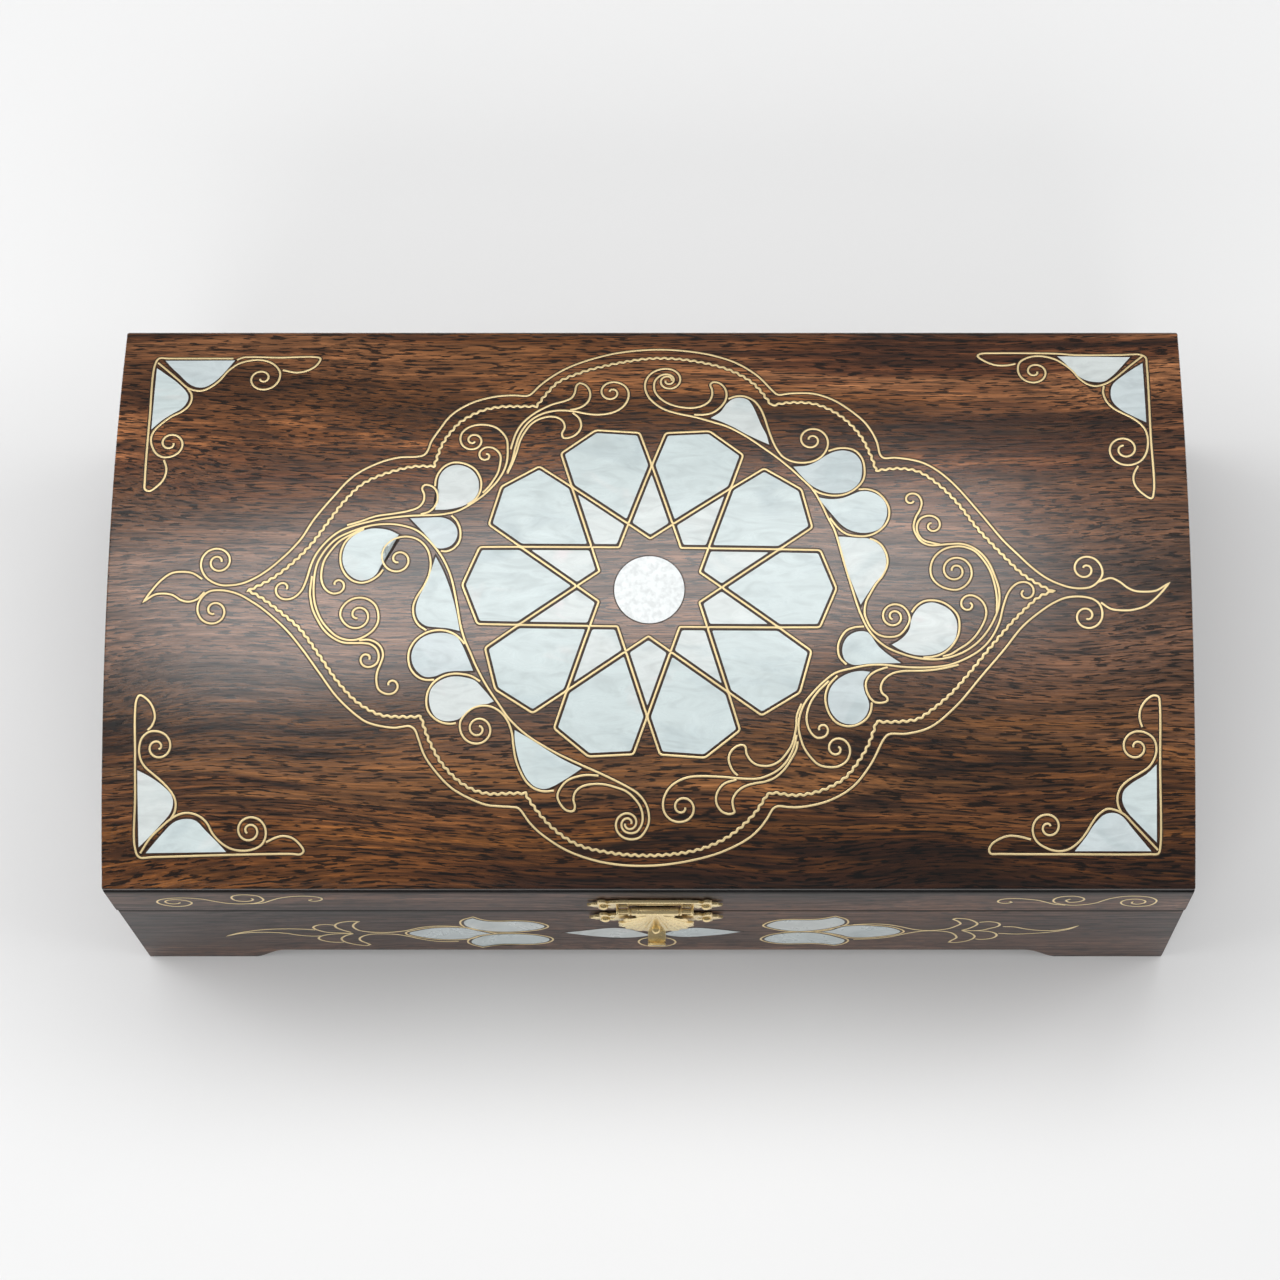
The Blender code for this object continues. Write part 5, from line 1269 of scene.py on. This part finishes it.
def add_shell(shape):
    """The hasp's flap. Its ribs fan out from a root just under the pin and run out flat near its rim."""
    right = smooth_line(FAN)
    rim = evenly(right, 0.3) + evenly([Vector((-p.x, p.y)) for p in reversed(right)], 0.3)
    root = Vector((0.0, -0.9))
    front, back = [], []
    for point in rim:
        arm = point - root
        rib = RIB_TALL * abs(math.cos(0.5 * RIBS * math.atan2(arm.x, -arm.y)))
        row = []
        for i in range(1, SHELL_STEPS + 1):
            share = i / SHELL_STEPS
            place = root + arm * share
            relief = rib * min(1.0, share * 2) + SHELL_SWELL * math.sin(math.pi * share)
            out = HASP_BACK + HASP_THICK + relief * min(1.0, (1 - share) / SHELL_RIM)
            row.append(shape.verts.new(at_clasp(place.x, out, place.y)))
        front.append(row)
        back.append(shape.verts.new(at_clasp(point.x, HASP_BACK, point.y)))
    pole = shape.verts.new(at_clasp(root.x, HASP_BACK + 2 * HASP_THICK, root.y))
    hidden = shape.verts.new(at_clasp(root.x, HASP_BACK, root.y))
    for k in range(len(rim) - 1):
        shape.faces.new((pole, front[k][0], front[k + 1][0]))
        shape.faces.new((hidden, back[k], back[k + 1]))
        shape.faces.new((front[k][-1], back[k], back[k + 1], front[k + 1][-1]))
        for i in range(SHELL_STEPS - 1):
            shape.faces.new((front[k][i], front[k][i + 1], front[k + 1][i + 1], front[k + 1][i]))
    for k in (0, -1):
        shape.faces.new([pole] + front[k] + [back[k], hidden])


def add_tab(shape):
    """The curled finger tab under the shell."""
    tab = counter_clockwise(smooth_line(TAB, True))
    inner = TAB_HALF - TAB_EDGE
    loops = []
    for across, inset in ((-TAB_HALF, TAB_EDGE), (-inner, 0.0), (inner, 0.0), (TAB_HALF, TAB_EDGE)):
        loops.append([shape.verts.new(at_clasp(across, point.x, point.y)) for point in offset(tab, -inset)])
    skin(shape, loops)


def hasp():
    """The shell shaped flap with its knuckle and finger tab."""
    shape = bmesh.new()
    add_shell(shape)
    add_barrel(shape, *KNUCKLE)
    add_tab(shape)
    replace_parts(new_piece("clasp_hasp_shell", shape, SATIN_BRASS, "hasp", 50), "clasp_hasp")


def knob():
    """The ball on the shell, with its neck and foot."""
    ball = [(max(0.02, KNOB * math.sin(a)), -KNOB * math.cos(a))
            for a in (math.pi * k / 12 for k in range(13))]
    profile = [(radius, along) for radius, along in ball if along < KNOB * 0.8]
    profile += [(KNOB_NECK, KNOB * 0.9), (KNOB_NECK, KNOB + 0.3), (KNOB_FOOT, KNOB + 0.35),
                (KNOB_FOOT, KNOB + 0.75)]
    shape = bmesh.new()
    add_turned(shape, profile, at_clasp(0, KNOB_OUT, -KNOB_DROP), (0, 1, 0))
    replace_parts(new_piece("clasp_knob_ball", shape, POLISHED_BRASS, "hasp", 40), "clasp_knob")


upper_plate()
lower_plate()
nails()
hasp()
knob()
lay_wire("base_ring", ellipse(*RING, 60), on_base_front, closed=True, beside=0)

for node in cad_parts:
    if node.startswith("hinge_") or node == "clasp_pin":
        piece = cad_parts[node]
        piece.data.materials.clear()
        piece.data.materials.append(POLISHED_BRASS)


# ---------------------------------------------------------------- camera, floor and light
def add_light(name, place, aim, size, power, reflected=True):
    """A rectangle of light. If it isn't reflected, polished things don't show it."""
    data = bpy.data.lights.new(name, "AREA")
    data.shape = "RECTANGLE"
    data.size, data.size_y = size
    data.energy = power
    light = bpy.data.objects.new(name, data)
    light.visible_glossy = reflected
    light.location = place
    light.rotation_euler = (Vector(aim) - Vector(place)).to_track_quat("-Z", "Y").to_euler()
    bpy.context.scene.collection.objects.link(light)


FLOOR_HALF, FLOOR_TONE = 4.0, 0.78
floor_shape = bmesh.new()
bmesh.ops.create_grid(floor_shape, x_segments=1, y_segments=1, size=FLOOR_HALF)
floor_mesh = bpy.data.meshes.new("floor")
floor_shape.to_mesh(floor_mesh)
floor_shape.free()
floor_mesh.materials.append(plain_floor("floor_white", FLOOR_TONE))
floor = bpy.data.objects.new("floor", floor_mesh)
bpy.context.scene.collection.objects.link(floor)

scene = bpy.context.scene
scene.view_settings.view_transform = "Standard"
world = bpy.data.worlds.new("studio")
scene.world = world
world.use_nodes = True
background = world.node_tree.nodes["Background"]
background.inputs["Color"].default_value = (0.97, 0.985, 1.0, 1.0)
background.inputs["Strength"].default_value = 0.12
add_light("overhead", (-0.14, 0.41, 1.30), (-0.05, 0, 0.05), (1.45, 0.62), 8.0)
add_light("front_fill", (-0.2, -1.6, 1.15), (0, 0, 0), (1.8, 0.8), 14, reflected=False)
add_light("left_fill", (-1.25, 0.1, 1.45), (0, 0, 0), (1.2, 0.8), 12, reflected=False)
add_light("right_fill", (1.25, 0.1, 1.45), (0, 0, 0), (1.2, 0.8), 11, reflected=False)
add_light("soft_fill", (0, 0, 2.1), (0, 0, 0), (4, 3), 11, reflected=False)

lens = bpy.data.cameras.new("camera")
lens.lens, lens.sensor_width = 112.2, 36.0
lens.shift_x = -0.082
camera = bpy.data.objects.new("camera", lens)
camera.location = (0.02467, -0.3001, 1.0825)
camera.rotation_euler = (math.radians(16.297), 0, 0)
scene.collection.objects.link(camera)
scene.camera = camera
